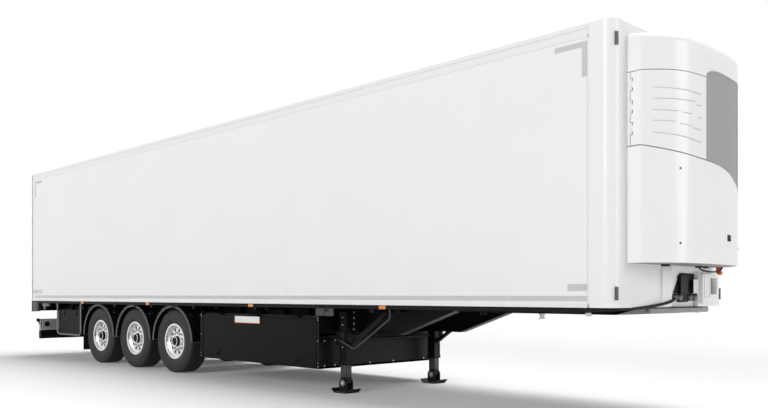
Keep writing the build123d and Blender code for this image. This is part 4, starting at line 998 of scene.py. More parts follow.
@dataclass
class Wheel(Assembly):
    """One wheel: the tyre that stands for its CAD node, the rim's rings, nuts and cap."""

    axle: str
    side: Side
    hub: Point
    steps: int = 96
    hub_steps: int = 64
    sharp: float = 40.0
    sidewall: Profile = (
        (0.147, 0.29), (0.151, 0.303), (0.16, 0.312), (0.164, 0.313), (0.166, 0.318),
        (0.172, 0.33), (0.184, 0.36), (0.1905, 0.395), (0.1912, 0.412), (0.1895, 0.432),
        (0.1884, 0.446), (0.1906, 0.4475), (0.1902, 0.4535), (0.1866, 0.455), (0.1845, 0.466),
        (0.18, 0.488), (0.1765, 0.504), (0.1735, 0.5075), (0.1755, 0.51), (0.17, 0.519),
        (0.164, 0.5255), (0.156, 0.5315), (0.15, 0.5342))
    tread_radius: float = 0.5355
    grooves: Row = (0.092, 0.032)
    groove_half: float = 0.0065
    groove_floor: float = 0.6
    groove_depth: float = 0.013
    rim_ring: Profile = (
        (0.15, 0.304), (0.1575, 0.304), (0.1618, 0.3022), (0.163, 0.2985), (0.1622, 0.293),
        (0.1585, 0.284), (0.152, 0.2755), (0.144, 0.2712), (0.12, 0.2702), (0.1, 0.2694),
        (0.0905, 0.2665), (0.0865, 0.26), (0.085, 0.2745), (0.15, 0.2745), (0.15, 0.304))
    hub_ring: Profile = (
        (0.103, 0.132), (0.1085, 0.13), (0.11, 0.126), (0.11, 0.106), (0.115, 0.102),
        (0.116, 0.09), (0.103, 0.09), (0.103, 0.132))
    hub_cap: Profile = (
        (0.106, 0.0905), (0.114, 0.0905), (0.118, 0.087), (0.148, 0.085), (0.156, 0.0815),
        (0.1598, 0.073), (0.1608, 0.056), (0.1608, 0.033), (0.1622, 0.031), (0.1625, 0.0),
        (0.106, 0.0))
    nut_circle: float = 0.15
    nuts: int = 10
    nut_parts: Tuple[Tuple[float, float, float, int], ...] = (
        (0.104, 0.109, 0.0205, 16), (0.108, 0.13, 0.0165, 6), (0.128, 0.142, 0.0105, 12))
    valve: Profile = ((0.092, 0.243), (0.134, 0.247))
    valve_angle: float = 2.2
    cap_circle: float = 0.0985
    cap_bolts: int = 6

    @property
    def place(self) -> str:
        """Give the axle and side as they stand in names."""
        return f"{self.axle}_{self.side.word}"

    @property
    def out(self) -> Point:
        """Give the way out along the axle."""
        return (0.0, self.side.value, 0.0)

    def dress(self) -> None:
        """Give the wheel's CAD nodes their finishes."""
        self.coat(Palette.RUBBER, f"tyre_{self.place}")
        self.coat(Palette.RIM, f"rim_{self.place}")

    def spot(self, along: float, out: float, angle: float) -> Point:
        """Give a place on the wheel from its distance along the axle, radius and angle."""
        return (self.hub[0] + out * math.cos(angle), self.hub[1] + self.side.value * along,
                self.hub[2] + out * math.sin(angle))

    def section(self) -> List[Pair]:
        """Give the closed section of a tyre: sidewalls, ribs and the grooves between them.

        Returns:
            Points given as (along the axle, out from it).
        """
        half = list(self.sidewall)
        top, floor = self.tread_radius, self.tread_radius - self.groove_depth
        wide, narrow = self.groove_half, self.groove_floor * self.groove_half
        for middle in self.grooves:
            half += [(middle + wide, top), (middle + narrow, floor), (middle - narrow, floor),
                     (middle - wide, top)]
        whole = half + [(-along, out) for along, out in reversed(half)]
        return whole + whole[:1]

    def tyre(self) -> None:
        """Make the tyre in the place of its CAD node."""
        shape = Shape().turned(self.section(), self.hub, self.out, self.steps).mark_hub(self.hub)
        piece = self.add(f"road_tyre_{self.place}", shape, Palette.TYRE, f"wheel_{self.place}",
                         sharp=self.sharp)
        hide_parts(f"tyre_{self.place}")

    def rings(self) -> None:
        """Lay the polished ring inside the rim, and the ring round its hub."""
        shape = Shape().turned(self.rim_ring, self.hub, self.out, self.steps)
        shape.turned(self.hub_ring, self.hub, self.out, self.hub_steps).mark_hub(self.hub)
        self.add(f"rim_rings_{self.place}", shape, Palette.WHEEL, f"wheel_{self.place}",
                 sharp=self.sharp)

    def fixings(self) -> None:
        """Set the wheel nuts on their washers, and the valve."""
        shape = Shape()
        for row in range(self.nuts):
            angle = (row + 0.5) * FULL_TURN / self.nuts
            for start, end, radius, sides in self.nut_parts:
                shape.rod(self.spot(start, self.nut_circle, angle),
                          self.spot(end, self.nut_circle, angle), radius, sides, bevel=0.0015)
        foot, tip = (self.spot(*point, self.valve_angle) for point in self.valve)
        shape.rod(foot, tip, 0.0045, 10, bevel=0.001)
        self.add(f"wheel_nuts_{self.place}", shape, Palette.ZINC, f"wheel_{self.place}")

    def cap(self) -> None:
        """Put the dark cap over the hub."""
        shape = Shape().turned(self.hub_cap, self.hub, self.out, self.hub_steps)
        for row in range(self.cap_bolts):
            angle = row * FULL_TURN / self.cap_bolts
            shape.rod(self.spot(0.106, self.cap_circle, angle),
                      self.spot(0.121, self.cap_circle, angle), 0.006, 6)
        self.add(f"hub_cap_{self.place}", shape, Palette.PLASTIC, f"wheel_{self.place}")

    def build(self) -> None:
        """Build the wheel's pieces."""
        for make in (self.tyre, self.rings, self.fixings, self.cap):
            make()


@dataclass
class RunningGear(Assembly):
    """The three axles with their brakes, dampers, air springs and mudguards."""

    hub_z: float = HUB_Z
    guard_y: float = 1.2425
    guard_width: float = 0.42
    lip_width: float = 0.014
    lip_highlight: Profile = (
        (-0.014, 0.612), (-0.014, 0.618), (-0.01, 0.6215), (-0.004, 0.6215), (0.0, 0.618),
        (0.0, 0.6), (-0.004, 0.579), (-0.01, 0.581), (-0.014, 0.588), (-0.014, 0.612))
    guard_end: float = 0.606
    guard_bolt_ys: Row = (0.93, 1.12)
    guard_bolt_swing: float = 42.0
    flap_reach: float = 0.612
    flap_bolt_ys: Row = (0.88, 0.98, 1.08, 1.18)
    flap_bolt_z: float = 0.49
    brake_can: Profile = (
        (0.0, 0.0), (0.0, 0.062), (0.02, 0.074), (0.075, 0.08), (0.082, 0.087), (0.1, 0.087),
        (0.107, 0.08), (0.165, 0.074), (0.19, 0.055), (0.196, 0.0))
    brake_y: float = 0.79
    damper_y: float = 0.652
    damper_sleeve: float = 0.55
    spring_ring: Profile = (
        (0.0, 0.112), (0.0, 0.1225), (0.004, 0.1245), (0.01, 0.1245), (0.014, 0.1225),
        (0.014, 0.112), (0.0, 0.112))
    spring_back: float = 0.39
    spring_y: float = 0.65
    ring_zs: Row = (0.584, 0.783)

    def dress(self) -> None:
        """Give the running gear's CAD nodes their finishes."""
        for axle in AXLES:
            self.coat(Palette.CHASSIS, f"axle_{axle}")
        self.coat(Palette.GUARD, "mudguards")
        self.coat(Palette.RUBBER, "mudflaps", "air_springs")

    def lips(self) -> None:
        """Roll the edges of the mudguards, coloured light grey as a painted highlight along each
        edge.
        """
        shape, inner_y = Shape(), self.guard_y - self.guard_width
        for x in AXLES.values():
            for y in (self.guard_y, inner_y + self.lip_width):
                shape.turned(self.lip_highlight, (x, y, self.hub_z), (0.0, 1.0, 0.0), 40, math.pi,
                             (-1.0, 0.0, 0.0))
            for end_x in (x - self.guard_end, x + self.guard_end):
                shape.rod((end_x, inner_y + 0.004, self.hub_z + 0.004),
                          (end_x, self.guard_y - 0.004, self.hub_z + 0.004), 0.0085, 12,
                          bevel=0.002)
        self.add("mudguard_lips", shape.closed().mirrored(), Palette.LIP_HIGHLIGHT)

    def guard_bolts(self) -> None:
        """Bolt the mudguards to their stays and the flaps to the last guards."""
        shape = Shape()
        for x in AXLES.values():
            for swing in (-self.guard_bolt_swing, self.guard_bolt_swing):
                angle = math.radians(90.0 + swing)
                for y in self.guard_bolt_ys:
                    low, high = ((x + out * math.cos(angle), y, self.hub_z + out * math.sin(angle))
                                 for out in (0.611, 0.6195))
                    shape.rod(low, high, 0.011, 6, bevel=0.001)
        spots = [(AXLES["rear"] - self.flap_reach, y, self.flap_bolt_z) for y in self.flap_bolt_ys]
        shape.studs(spots, (-0.008, 0.0, 0.0), 0.011, 6, bevel=0.001)
        self.add("guard_bolts", shape.mirrored(), Palette.ZINC)

    def brakes(self) -> None:
        """Hang a brake chamber and a damper at each end of the axles."""
        shape = Shape()
        for x in AXLES.values():
            centre = (x + 0.085, self.brake_y, self.hub_z + 0.02)
            shape.turned(self.brake_can, centre, (1.0, 0.0, 0.0), 32)
            shape.block((x - 0.02, self.brake_y - 0.035, self.hub_z - 0.03),
                        (x + 0.1, self.brake_y + 0.035, self.hub_z + 0.06), 0.008)
            foot, head = (x + 0.075, self.damper_y, 0.59), (x + 0.245, self.damper_y, 0.798)
            middle = tuple((1.0 - self.damper_sleeve) * low + self.damper_sleeve * high
                           for low, high in zip(foot, head))
            shape.rod(foot, head, 0.022, 20).rod(middle, head, 0.036, 24, bevel=0.004)
        self.add("brake_chambers", shape.mirrored(), Palette.CHASSIS)

    def spring_rings(self) -> None:
        """Clamp each air spring at its plates."""
        shape = Shape()
        for x in AXLES.values():
            for z in self.ring_zs:
                centre = (x - self.spring_back, self.spring_y, z)
                shape.turned(self.spring_ring, centre, (0.0, 0.0, 1.0), 48)
        self.add("spring_rings", shape.mirrored(), Palette.ZINC)

    def build(self) -> None:
        """Build the running gear's pieces."""
        for make in (self.lips, self.guard_bolts, self.brakes, self.spring_rings):
            make()


@dataclass
class Chassis(Assembly):
    """The beams, cross members and coupler plate under the box."""

    rear_x: float = -6.8925
    join_x: float = 6.2575
    edge_y: float = 1.288
    edge_z: float = 1.15
    rail_bolts: int = 52
    eyes: int = 9
    eye_pitch: float = 1.25
    eye_half: float = 0.03
    eye_drop: float = 0.035
    beam_y: float = 0.65
    stiffeners: int = 17
    stiffener_pitch: float = 0.55
    conduit_zs: Row = (1.125, 1.1)
    kingpin: Point = (4.9575, 0.0, 1.12)
    wear_ring: Profile = ((0.0, 0.0395), (0.004, 0.041), (0.006, 0.05), (0.004, 0.118),
                          (0.0, 0.122), (0.0, 0.0395))
    rib_y: float = 0.42

    def dress(self) -> None:
        """Give the chassis' CAD nodes their finishes."""
        self.coat(Palette.CHASSIS, "main_beams", "cross_members", "edge_rails", "coupler_plate",
                  "air_tanks")
        self.coat(Palette.STEEL, "kingpin")

    def rail_fixings(self) -> None:
        """Bolt the edge rails to the box, and hang the lashing eyes."""
        pitch = (self.join_x - self.rear_x - 0.5) / self.rail_bolts
        spots = [(self.rear_x + 0.28 + row * pitch, self.edge_y - 0.001, self.edge_z + 0.026)
                 for row in range(self.rail_bolts + 1)]
        shape = Shape().studs(spots, (0.0, 0.007, 0.0), 0.0085, 6, bevel=0.001)
        y, low = self.edge_y - 0.022, self.edge_z - self.eye_drop
        for row in range(self.eyes):
            x = self.rear_x + 1.9 + row * self.eye_pitch
            for leg_x in (x - self.eye_half, x + self.eye_half):
                shape.rod((leg_x, y, self.edge_z), (leg_x, y, low), 0.007, 10)
            shape.rod((x - 0.037, y, low), (x + 0.037, y, low), 0.007, 10, bevel=0.002)
        self.add("rail_fixings", shape.mirrored(), Palette.CHASSIS)

    def end_blocks(self) -> None:
        """Fix the small pale block at the front end of each edge rail."""
        block = (self.join_x - 0.045, self.edge_z - 0.034, self.join_x + 0.005, self.edge_z + 0.004)
        shape = Shape().along([block], self.edge_y - 0.035, self.edge_y - 0.002, 0.006, 2)
        self.add("rail_end_blocks", shape.mirrored(), Palette.HOUSING)

    def web_stiffeners(self) -> None:
        """Weld the upright stiffeners into the webs of the main beams."""
        starts = [self.rear_x + 0.75 + row * self.stiffener_pitch for row in range(self.stiffeners)]
        rows = [(x - 0.005, 0.815, x + 0.005, 1.185) for x in starts]
        shape = Shape().along(rows, self.beam_y + 0.004, self.beam_y + 0.062, 0.002)
        self.add("web_stiffeners", shape.mirrored(), Palette.CHASSIS)

    def conduits(self) -> None:
        """Clip two conduits along the inner side of each main beam."""
        for side in Side:
            y = side.value * (self.beam_y - 0.02)
            for row, z in enumerate(self.conduit_zs):
                points = [(5.95, y, 1.166), (4.6, y, 1.166), (3.9, y, z), (0.0, y, z),
                          (-3.2, y, z), (-6.3, y, z)]
                self.tube(f"conduit_{side.word}_{row + 1}", points, 0.0095, Palette.PLASTIC)

    def coupler_ring(self) -> None:
        """Weld the wear ring round the kingpin and the ribs of the coupler plate."""
        shape = Shape().turned(self.wear_ring, self.kingpin, (0.0, 0.0, -1.0), 64)
        for y in (-self.rib_y, self.rib_y):
            shape.along([(4.35, 1.13, 6.2, 1.172)], y - 0.006, y + 0.006, 0.002)
        self.add("coupler_wear_ring", shape, Palette.CHASSIS)

    def build(self) -> None:
        """Build the chassis' pieces."""
        for make in (self.rail_fixings, self.end_blocks, self.web_stiffeners, self.conduits,
                     self.coupler_ring):
            make()


@dataclass
class LandingGear(Assembly):
    """The two landing legs with their gears and crank."""

    x: float = 2.5575
    y: float = 0.94
    half: float = 0.065
    sleeve_half: float = 0.0525
    low: float = 0.38
    top: float = 1.1
    seam_x: float = 0.045
    bracket_bolt_x: float = 0.088
    bracket_bolt_zs: Row = (0.86, 0.937, 1.014, 1.091)
    face_bolt_zs: Row = (0.62, 0.72, 0.82, 0.92, 1.02)
    pin_z: float = 0.13
    crank_z: float = 0.72
    crank_turns: Tuple[Point, ...] = (
        (3.5, -1.185, 0.985), (3.56, -1.195, 1.02), (3.6, -1.215, 1.075), (3.61, -1.245, 1.152))
    hang_rows: Flats = ((2.3, 1.045, 2.462, 1.152), (2.474, 1.045, 2.64, 1.152))

    def dress(self) -> None:
        """Give the legs' CAD nodes their finishes."""
        self.coat(Palette.CHASSIS, "landing_legs", "leg_braces")

    def post(self, shape: Shape, half: float, low: float, high: float, bevel: float,
             segments: int = 2) -> Shape:
        """Add a square post over a leg.

        Args:
            shape: the shape that it is added to.
            half: half its width.
            low: the height of its foot.
            high: the height of its head.
            bevel: the width that its edges are rounded by.
            segments: the steps of that rounding.

        Returns:
            The same shape.
        """
        return shape.block((self.x - half, self.y - half, low),
                           (self.x + half, self.y + half, high), bevel, segments)

    def tubes(self) -> None:
        """Fit the collar and seams of each outer tube, and the bare drawn-out tube below."""
        shape = self.post(Shape(), self.half + 0.006, self.low - 0.004, self.low + 0.04, 0.004)
        for face in (-1.0, 1.0):
            rows = [(self.x + edge - 0.004, self.low + 0.05, self.x + edge + 0.004, self.top - 0.02)
                    for edge in (-self.seam_x, self.seam_x)]
            shape.along(rows, self.y + face * (self.half - 0.001),
                        self.y + face * (self.half + 0.0035), 0.001)
        self.add("leg_collars", shape.mirrored(), Palette.CHASSIS)
        shape = self.post(Shape(), self.sleeve_half, 0.205, self.low, 0.008)
        self.post(shape, self.sleeve_half + 0.003, 0.345, 0.352, 0.001, 1)
        self.add("leg_sleeves", shape.mirrored(), Palette.DULL)

    def bolts(self) -> None:
        """Bolt the legs to their brackets and pin their shoes."""
        near, far = self.y - self.half, self.y + self.half
        spots = [(self.x + way * self.bracket_bolt_x, near - 0.022, z)
                 for z in self.bracket_bolt_zs for way in (-1.0, 1.0)]
        shape = Shape().studs(spots, (0.0, 0.032, 0.0), 0.011, 6, bevel=0.001)
        spots = [(self.x, far, z) for z in self.face_bolt_zs]
        shape.studs(spots, (0.0, 0.008, 0.0), 0.011, 6, bevel=0.001)
        shape.rod((self.x, self.y - 0.078, self.pin_z), (self.x, self.y + 0.078, self.pin_z),
                  0.022, 20, bevel=0.003)
        self.add("leg_bolts", shape.mirrored(), Palette.ZINC)

    def gear(self) -> None:
        """Fit the gear case on each leg, and fold the crank back along the right side."""
        face = self.y + self.half
        case = (self.x - 0.085, 0.64, self.x + 0.085, 0.83)
        shape = Shape().along([case], face - 0.01, face + 0.055, 0.014, 3)
        shape.rod((self.x, face + 0.05, self.crank_z), (self.x, face + 0.085, self.crank_z),
                  0.03, 24, bevel=0.004)
        self.add("leg_gear_cases", shape.mirrored(), Palette.CHASSIS)
        bends = ((0.0, 0.0, 0.72), (0.1, 0.012, 0.69), (0.2, 0.02, 0.65),
                 (0.29, 0.025, 0.612), (0.36, 0.03, 0.64))
        points = [(self.x + ahead, -face - 0.07 - out, z) for ahead, out, z in bends]
        self.tube("leg_crank", points + list(self.crank_turns), 0.0125, Palette.DULL)

    def plates(self) -> None:
        """Hang the two bare plates beside the right leg, and show the shoes' bare steel."""
        shape = Shape().along(self.hang_rows, -1.266, -1.262, 0.001)
        self.add("bare_hang_plates", shape, Palette.DULL, slot="lamp_grey")
        shape = Shape().block((self.x - 0.1, self.y - 0.128, 0.0135),
                              (self.x + 0.1, self.y + 0.128, 0.0165), 0.001, 1)
        for face in (-1.0, 1.0):
            shape.rod((self.x, self.y + face * 0.0655, self.pin_z),
                      (self.x, self.y + face * 0.074, self.pin_z), 0.046, 32, bevel=0.003)
        self.add("shoe_wear_plates", shape.mirrored(), Palette.FRAME)

    def build(self) -> None:
        """Build the landing gear's pieces."""
        for make in (self.tubes, self.bolts, self.gear, self.plates):
            make()


@dataclass
class PalletBox(Assembly):
    """The pallet box between the legs and the wheels, with its two lids."""

    back_x: float = -0.4425
    front_x: float = 2.3475
    outer_y: float = 1.25
    low: float = 0.32
    lid_top: float = 1.006
    top: float = 1.04
    lid_inset: float = 0.047
    latch_xs: Row = (0.02, 1.88)
    latch_z: float = 0.42
    side_bolt_zs: Row = (0.35, 0.4, 0.7, 0.985, 1.015)
    end_bolt_ys: Row = (0.25, 0.95, 1.15)
    end_bolt_zs: Row = (0.36, 0.7)
    flange: float = 0.036
    flange_y: float = 1.245

    def dress(self) -> None:
        """Give the pallet box's CAD nodes their finishes."""
        self.coat(Palette.CHASSIS, "pallet_frame", "pallet_floor")
        self.coat(Palette.LID, "pallet_lid_right", "pallet_lid_left")

    def lid(self, side: Side) -> None:
        """Fold the edges of a lid and fit two turn latches near its lower edge.

        Args:
            side: the lid's side.
        """
        sign, body = side.value, f"pallet_lid_{side.word}"
        back, front = self.back_x + self.lid_inset, self.front_x - self.lid_inset
        face = sign * (self.outer_y - 0.001)
        rows = ((back, self.low, front, self.low + 0.024),
                (back, self.lid_top - 0.02, front, self.lid_top),
                (back, self.low, back + 0.022, self.lid_top),
                (front - 0.022, self.low, front, self.lid_top))
        shape = Shape().along(rows, face, sign * (self.outer_y + 0.005), 0.002, 2)
        self.add(f"lid_edges_{side.word}", shape, Palette.LID, body)
        shape, z = Shape(), self.latch_z
        for x in self.latch_xs:
            shape.along([(x - 0.045, z - 0.045, x + 0.045, z + 0.045)], face,
                        sign * (self.outer_y + 0.01), 0.006, 2)
            shape.rod((x, face, z), (x, sign * (self.outer_y + 0.022), z), 0.018, bevel=0.003)
            shape.along([(x - 0.01, z - 0.025, x + 0.01, z + 0.025)], face,
                        sign * (self.outer_y + 0.028), 0.004, 2)
        self.add(f"lid_latches_{side.word}", shape, Palette.CHASSIS, body)

    def label(self) -> None:
        """Fix the bare plate with its orange rim to the right lid."""
        rim = Shape().along([(0.474, 0.9, 1.08, 1.005)], -self.outer_y - 0.0062,
                            -self.outer_y + 0.001)
        self.add("lid_plate_rim", rim, Palette.ORANGE, "pallet_lid_right")
        face = Shape().along([(0.484, 0.911, 1.07, 1.005)], -self.outer_y - 0.0074,
                             -self.outer_y - 0.005)
        self.add("lid_bare_plate", face, Palette.LABEL, "pallet_lid_right")

    def ends(self) -> None:
        """Bolt the end walls, and fold a flange round each end of the box."""
        skin = self.outer_y - 0.001
        spots = [(x, skin, z) for x in (self.back_x + 0.02, self.front_x - 0.02)
                 for z in self.side_bolt_zs]
        shape = Shape().studs(spots, (0.0, 0.008, 0.0), 0.009, 12, 0.006)
        spots = [(self.front_x - 0.001, y, z) for y in self.end_bolt_ys for z in self.end_bolt_zs]
        shape.studs(spots, (0.009, 0.0, 0.0), 0.012, 6, bevel=0.001)
        self.add("pallet_bolts", shape.mirrored(), Palette.ZINC)
        posts = [(x, self.low, x + self.flange, self.top)
                 for x in (self.back_x, self.front_x - self.flange)]
        shape = Shape().along(posts, skin, self.outer_y + 0.0035, 0.001)
        bars = [(-self.flange_y, z, self.flange_y, z + 0.03) for z in (self.low, self.top - 0.27)]
        shape.across(bars, self.front_x - 0.001, self.front_x + 0.004, 0.001)
        self.add("pallet_flanges", shape.mirrored(), Palette.CHASSIS)

    def build(self) -> None:
        """Build the pallet box's pieces."""
        for side in Side:
            self.lid(side)
        self.label()
        self.ends()


@dataclass
class SideStorage(Assembly):
    """The tool box on the right and the fuel tank on the left."""

    back_x: float = -5.6825
    front_x: float = -4.6225
    face_y: float = -1.2475
    latch_xs: Row = (-5.42, -4.88)
    rib_rows: int = 9
    rib_z: float = 0.557
    rib_pitch: float = 0.0544
    tank_y: float = 0.955
    tank_top: float = 1.01
    filler_x: float = -4.86
    filler: Profile = ((0.0, 0.0), (0.0, 0.052), (0.012, 0.052), (0.014, 0.062), (0.038, 0.062),
                       (0.046, 0.056), (0.046, 0.0))
    line_xs: Row = (-5.36, -5.42)
    unions: Tuple[Point, ...] = ((-5.15, 0.036, 0.014), (-5.36, 0.014, 0.03), (-5.42, 0.014, 0.03))

    def dress(self) -> None:
        """Give the storage's CAD nodes their finishes."""
        self.coat(Palette.PLASTIC, "tool_box")
        self.coat(Palette.FRAME, "tool_box_frame")
        self.coat(Palette.ALLOY, "fuel_tank")

    def tool_box(self) -> None:
        """Fit two latches to the tool box, and edge its ribs with a paler line, a painted highlight
        where the ribs catch the light.
        """
        shape = Shape()
        for x in self.latch_xs:
            shape.along([(x - 0.04, 0.895, x + 0.04, 0.985)], self.face_y - 0.011,
                        self.face_y + 0.016, 0.006, 2)
            shape.rod((x, self.face_y - 0.018, 0.93), (x, self.face_y, 0.93), 0.014, 20,
                      bevel=0.002)
        self.add("tool_box_latches", shape, Palette.CHASSIS)
        # painted highlight: a paler strip along each rib of the black tool box
        heights = [self.rib_z + row * self.rib_pitch for row in range(self.rib_rows)]
        rows = [(self.back_x + 0.03, z, self.front_x - 0.03, z + 0.01) for z in heights]
        shape = Shape().along(rows, self.face_y - 0.0025, self.face_y + 0.001, 0.001)
        self.add("tool_box_rib_highlights", shape, Palette.RUBBER)

    def tank(self) -> None:
        """Fit the filler, the gauge head and the lines' unions to the tank, and lead the lines."""
        x, y, base = self.filler_x, self.tank_y, self.tank_top - 0.004
        shape = Shape().turned(self.filler, (x, y, base), (0.0, 0.0, 1.0), 48)
        shape.block((x - 0.055, y - 0.008, self.tank_top + 0.04),
                    (x + 0.055, y + 0.008, self.tank_top + 0.052), 0.004)
        self.add("tank_filler_cap", shape, Palette.PLASTIC)
        shape = Shape()
        for x, radius, height in self.unions:
            shape.rod((x, y, base), (x, y, base + height), radius, bevel=0.002)
        self.add("tank_unions", shape, Palette.ZINC)
        top = self.tank_top + 0.022
        for row, x in enumerate(self.line_xs):
            points = [(x, y, top - 0.002), (x, y, top + 0.03), (x, y - 0.06, top + 0.06),
                      (x + 0.04, 0.78, top + 0.07), (x + 0.16, 0.7, top + 0.065),
                      (x + 0.42, 0.664, top + 0.06)]
            self.tube(f"fuel_line_{row + 1}", points, 0.0075, Palette.RUBBER)

    def build(self) -> None:
        """Build the storage's pieces."""
        self.tool_box()
        self.tank()


@dataclass
class RearEquipment(Assembly):
    """The underrun bar, the lamp carriers and the corner buffers."""

    lens_x: Pair = (-6.7185, -6.7155)
    rim_x: float = -6.7195
    turn_field: Flat = (1.105, 0.596, 1.186, 0.754)
    reverse_field: Flat = (0.866, 0.596, 0.935, 0.754)
    rim_ys: Row = (0.9385, 1.02, 1.1015)
    carrier_x: float = -6.6245
    plug: Profile = ((0.0, 0.0), (0.0, 0.058), (0.01, 0.058), (0.018, 0.05), (0.018, 0.03),
                     (0.03, 0.026), (0.03, 0.0))
    strips: Tuple[Tuple[Flat, float], ...] = (
        ((0.82, 0.553, 1.226, 0.58), 0.008), ((1.168, 0.585, 1.196, 0.76), 0.007))
    mark: Flat = (1.2, 0.61, 1.222, 0.735)
    lamp_y: float = 1.262
    lamp_z: float = 0.775

    def dress(self) -> None:
        """Give the rear equipment's CAD nodes their finishes."""
        self.coat(Palette.CHASSIS, "underrun_bar")
        self.coat(Palette.RUBBER, "buffers")
        self.coat(Palette.CARRIER, "lamp_carriers")
        self.coat(Palette.RED, "tail_lamps")

    def lamp_fields(self) -> None:
        """Set the amber and clear fields, and the rims, into the tail lamps."""
        for name, field, finish in (("turn_fields", self.turn_field, Palette.AMBER),
                                    ("reverse_fields", self.reverse_field, Palette.CLEAR)):
            shape = Shape().across([field], *self.lens_x, 0.001)
            self.add(name, shape.mirrored(), finish)
        rims = [(y - 0.003, 0.588, y + 0.003, 0.762) for y in self.rim_ys]
        shape = Shape().across(rims, self.rim_x, self.lens_x[1], 0.001)
        self.add("lamp_rims", shape.mirrored(), Palette.PLASTIC)

    def lamp_fronts(self) -> None:
        """Fit the plug housings, pale edge strips and red marks to the carriers' front."""
        plugs = Shape().turned(self.plug, (self.carrier_x, 1.075, 0.685), (1.0, 0.0, 0.0), 40)
        self.add("lamp_plugs", plugs.mirrored(), Palette.PLASTIC)
        strips = Shape()
        for strip, depth in self.strips:
            strips.across([strip], self.carrier_x, self.carrier_x + depth, 0.002, 2)
        self.add("carrier_strips", strips.mirrored(), Palette.LABEL)
        marks = Shape().across([self.mark], self.carrier_x, self.carrier_x + 0.007, 0.002, 2)
        self.add("carrier_marks", marks.mirrored(), Palette.RED)

    def stalk_lamps(self) -> None:
        """Stand a rubber-armed outline lamp out from each carrier."""
        arms = Shape().rod((-6.665, 1.205, 0.66), (-6.672, 1.266, 0.752), 0.016, 20, 0.012)
        arms.rod((-6.7, self.lamp_y, self.lamp_z), (-6.644, self.lamp_y, self.lamp_z), 0.036, 32,
                 bevel=0.008)
        self.add("outline_lamp_arms", arms.mirrored(), Palette.RUBBER)
        lenses = Shape().rod((-6.706, self.lamp_y, self.lamp_z), (-6.698, self.lamp_y, self.lamp_z),
                             0.03, 32, 0.024)
        self.add("outline_lamp_lenses", lenses.mirrored(), Palette.RED)

    def corners(self) -> None:
        """Cover the rear corners, bracket the rear beam's ends and cap the underrun bar."""
        covers = Shape().block((-6.9545, 1.195, 0.965), (-6.64, 1.2975, 1.196), 0.038, 5)
        self.add("corner_covers", covers.mirrored(), Palette.COVER)
        brackets = Shape().block((-6.47, 1.205, 1.085), (-6.13, 1.262, 1.152), 0.008)
        brackets.block((-6.42, 1.215, 1.02), (-6.33, 1.255, 1.088), 0.006)
        self.add("beam_brackets", brackets.mirrored(), Palette.FRAME, slot="lamp_grey")
        caps = Shape().block((-6.6955, 1.2, 0.367), (-6.5795, 1.236, 0.5495), 0.01, 3)
        self.add("underrun_caps", caps.mirrored(), Palette.PLASTIC)

    def build(self) -> None:
        """Build the rear equipment's pieces."""
        for make in (self.lamp_fields, self.lamp_fronts, self.stalk_lamps, self.corners):
            make()


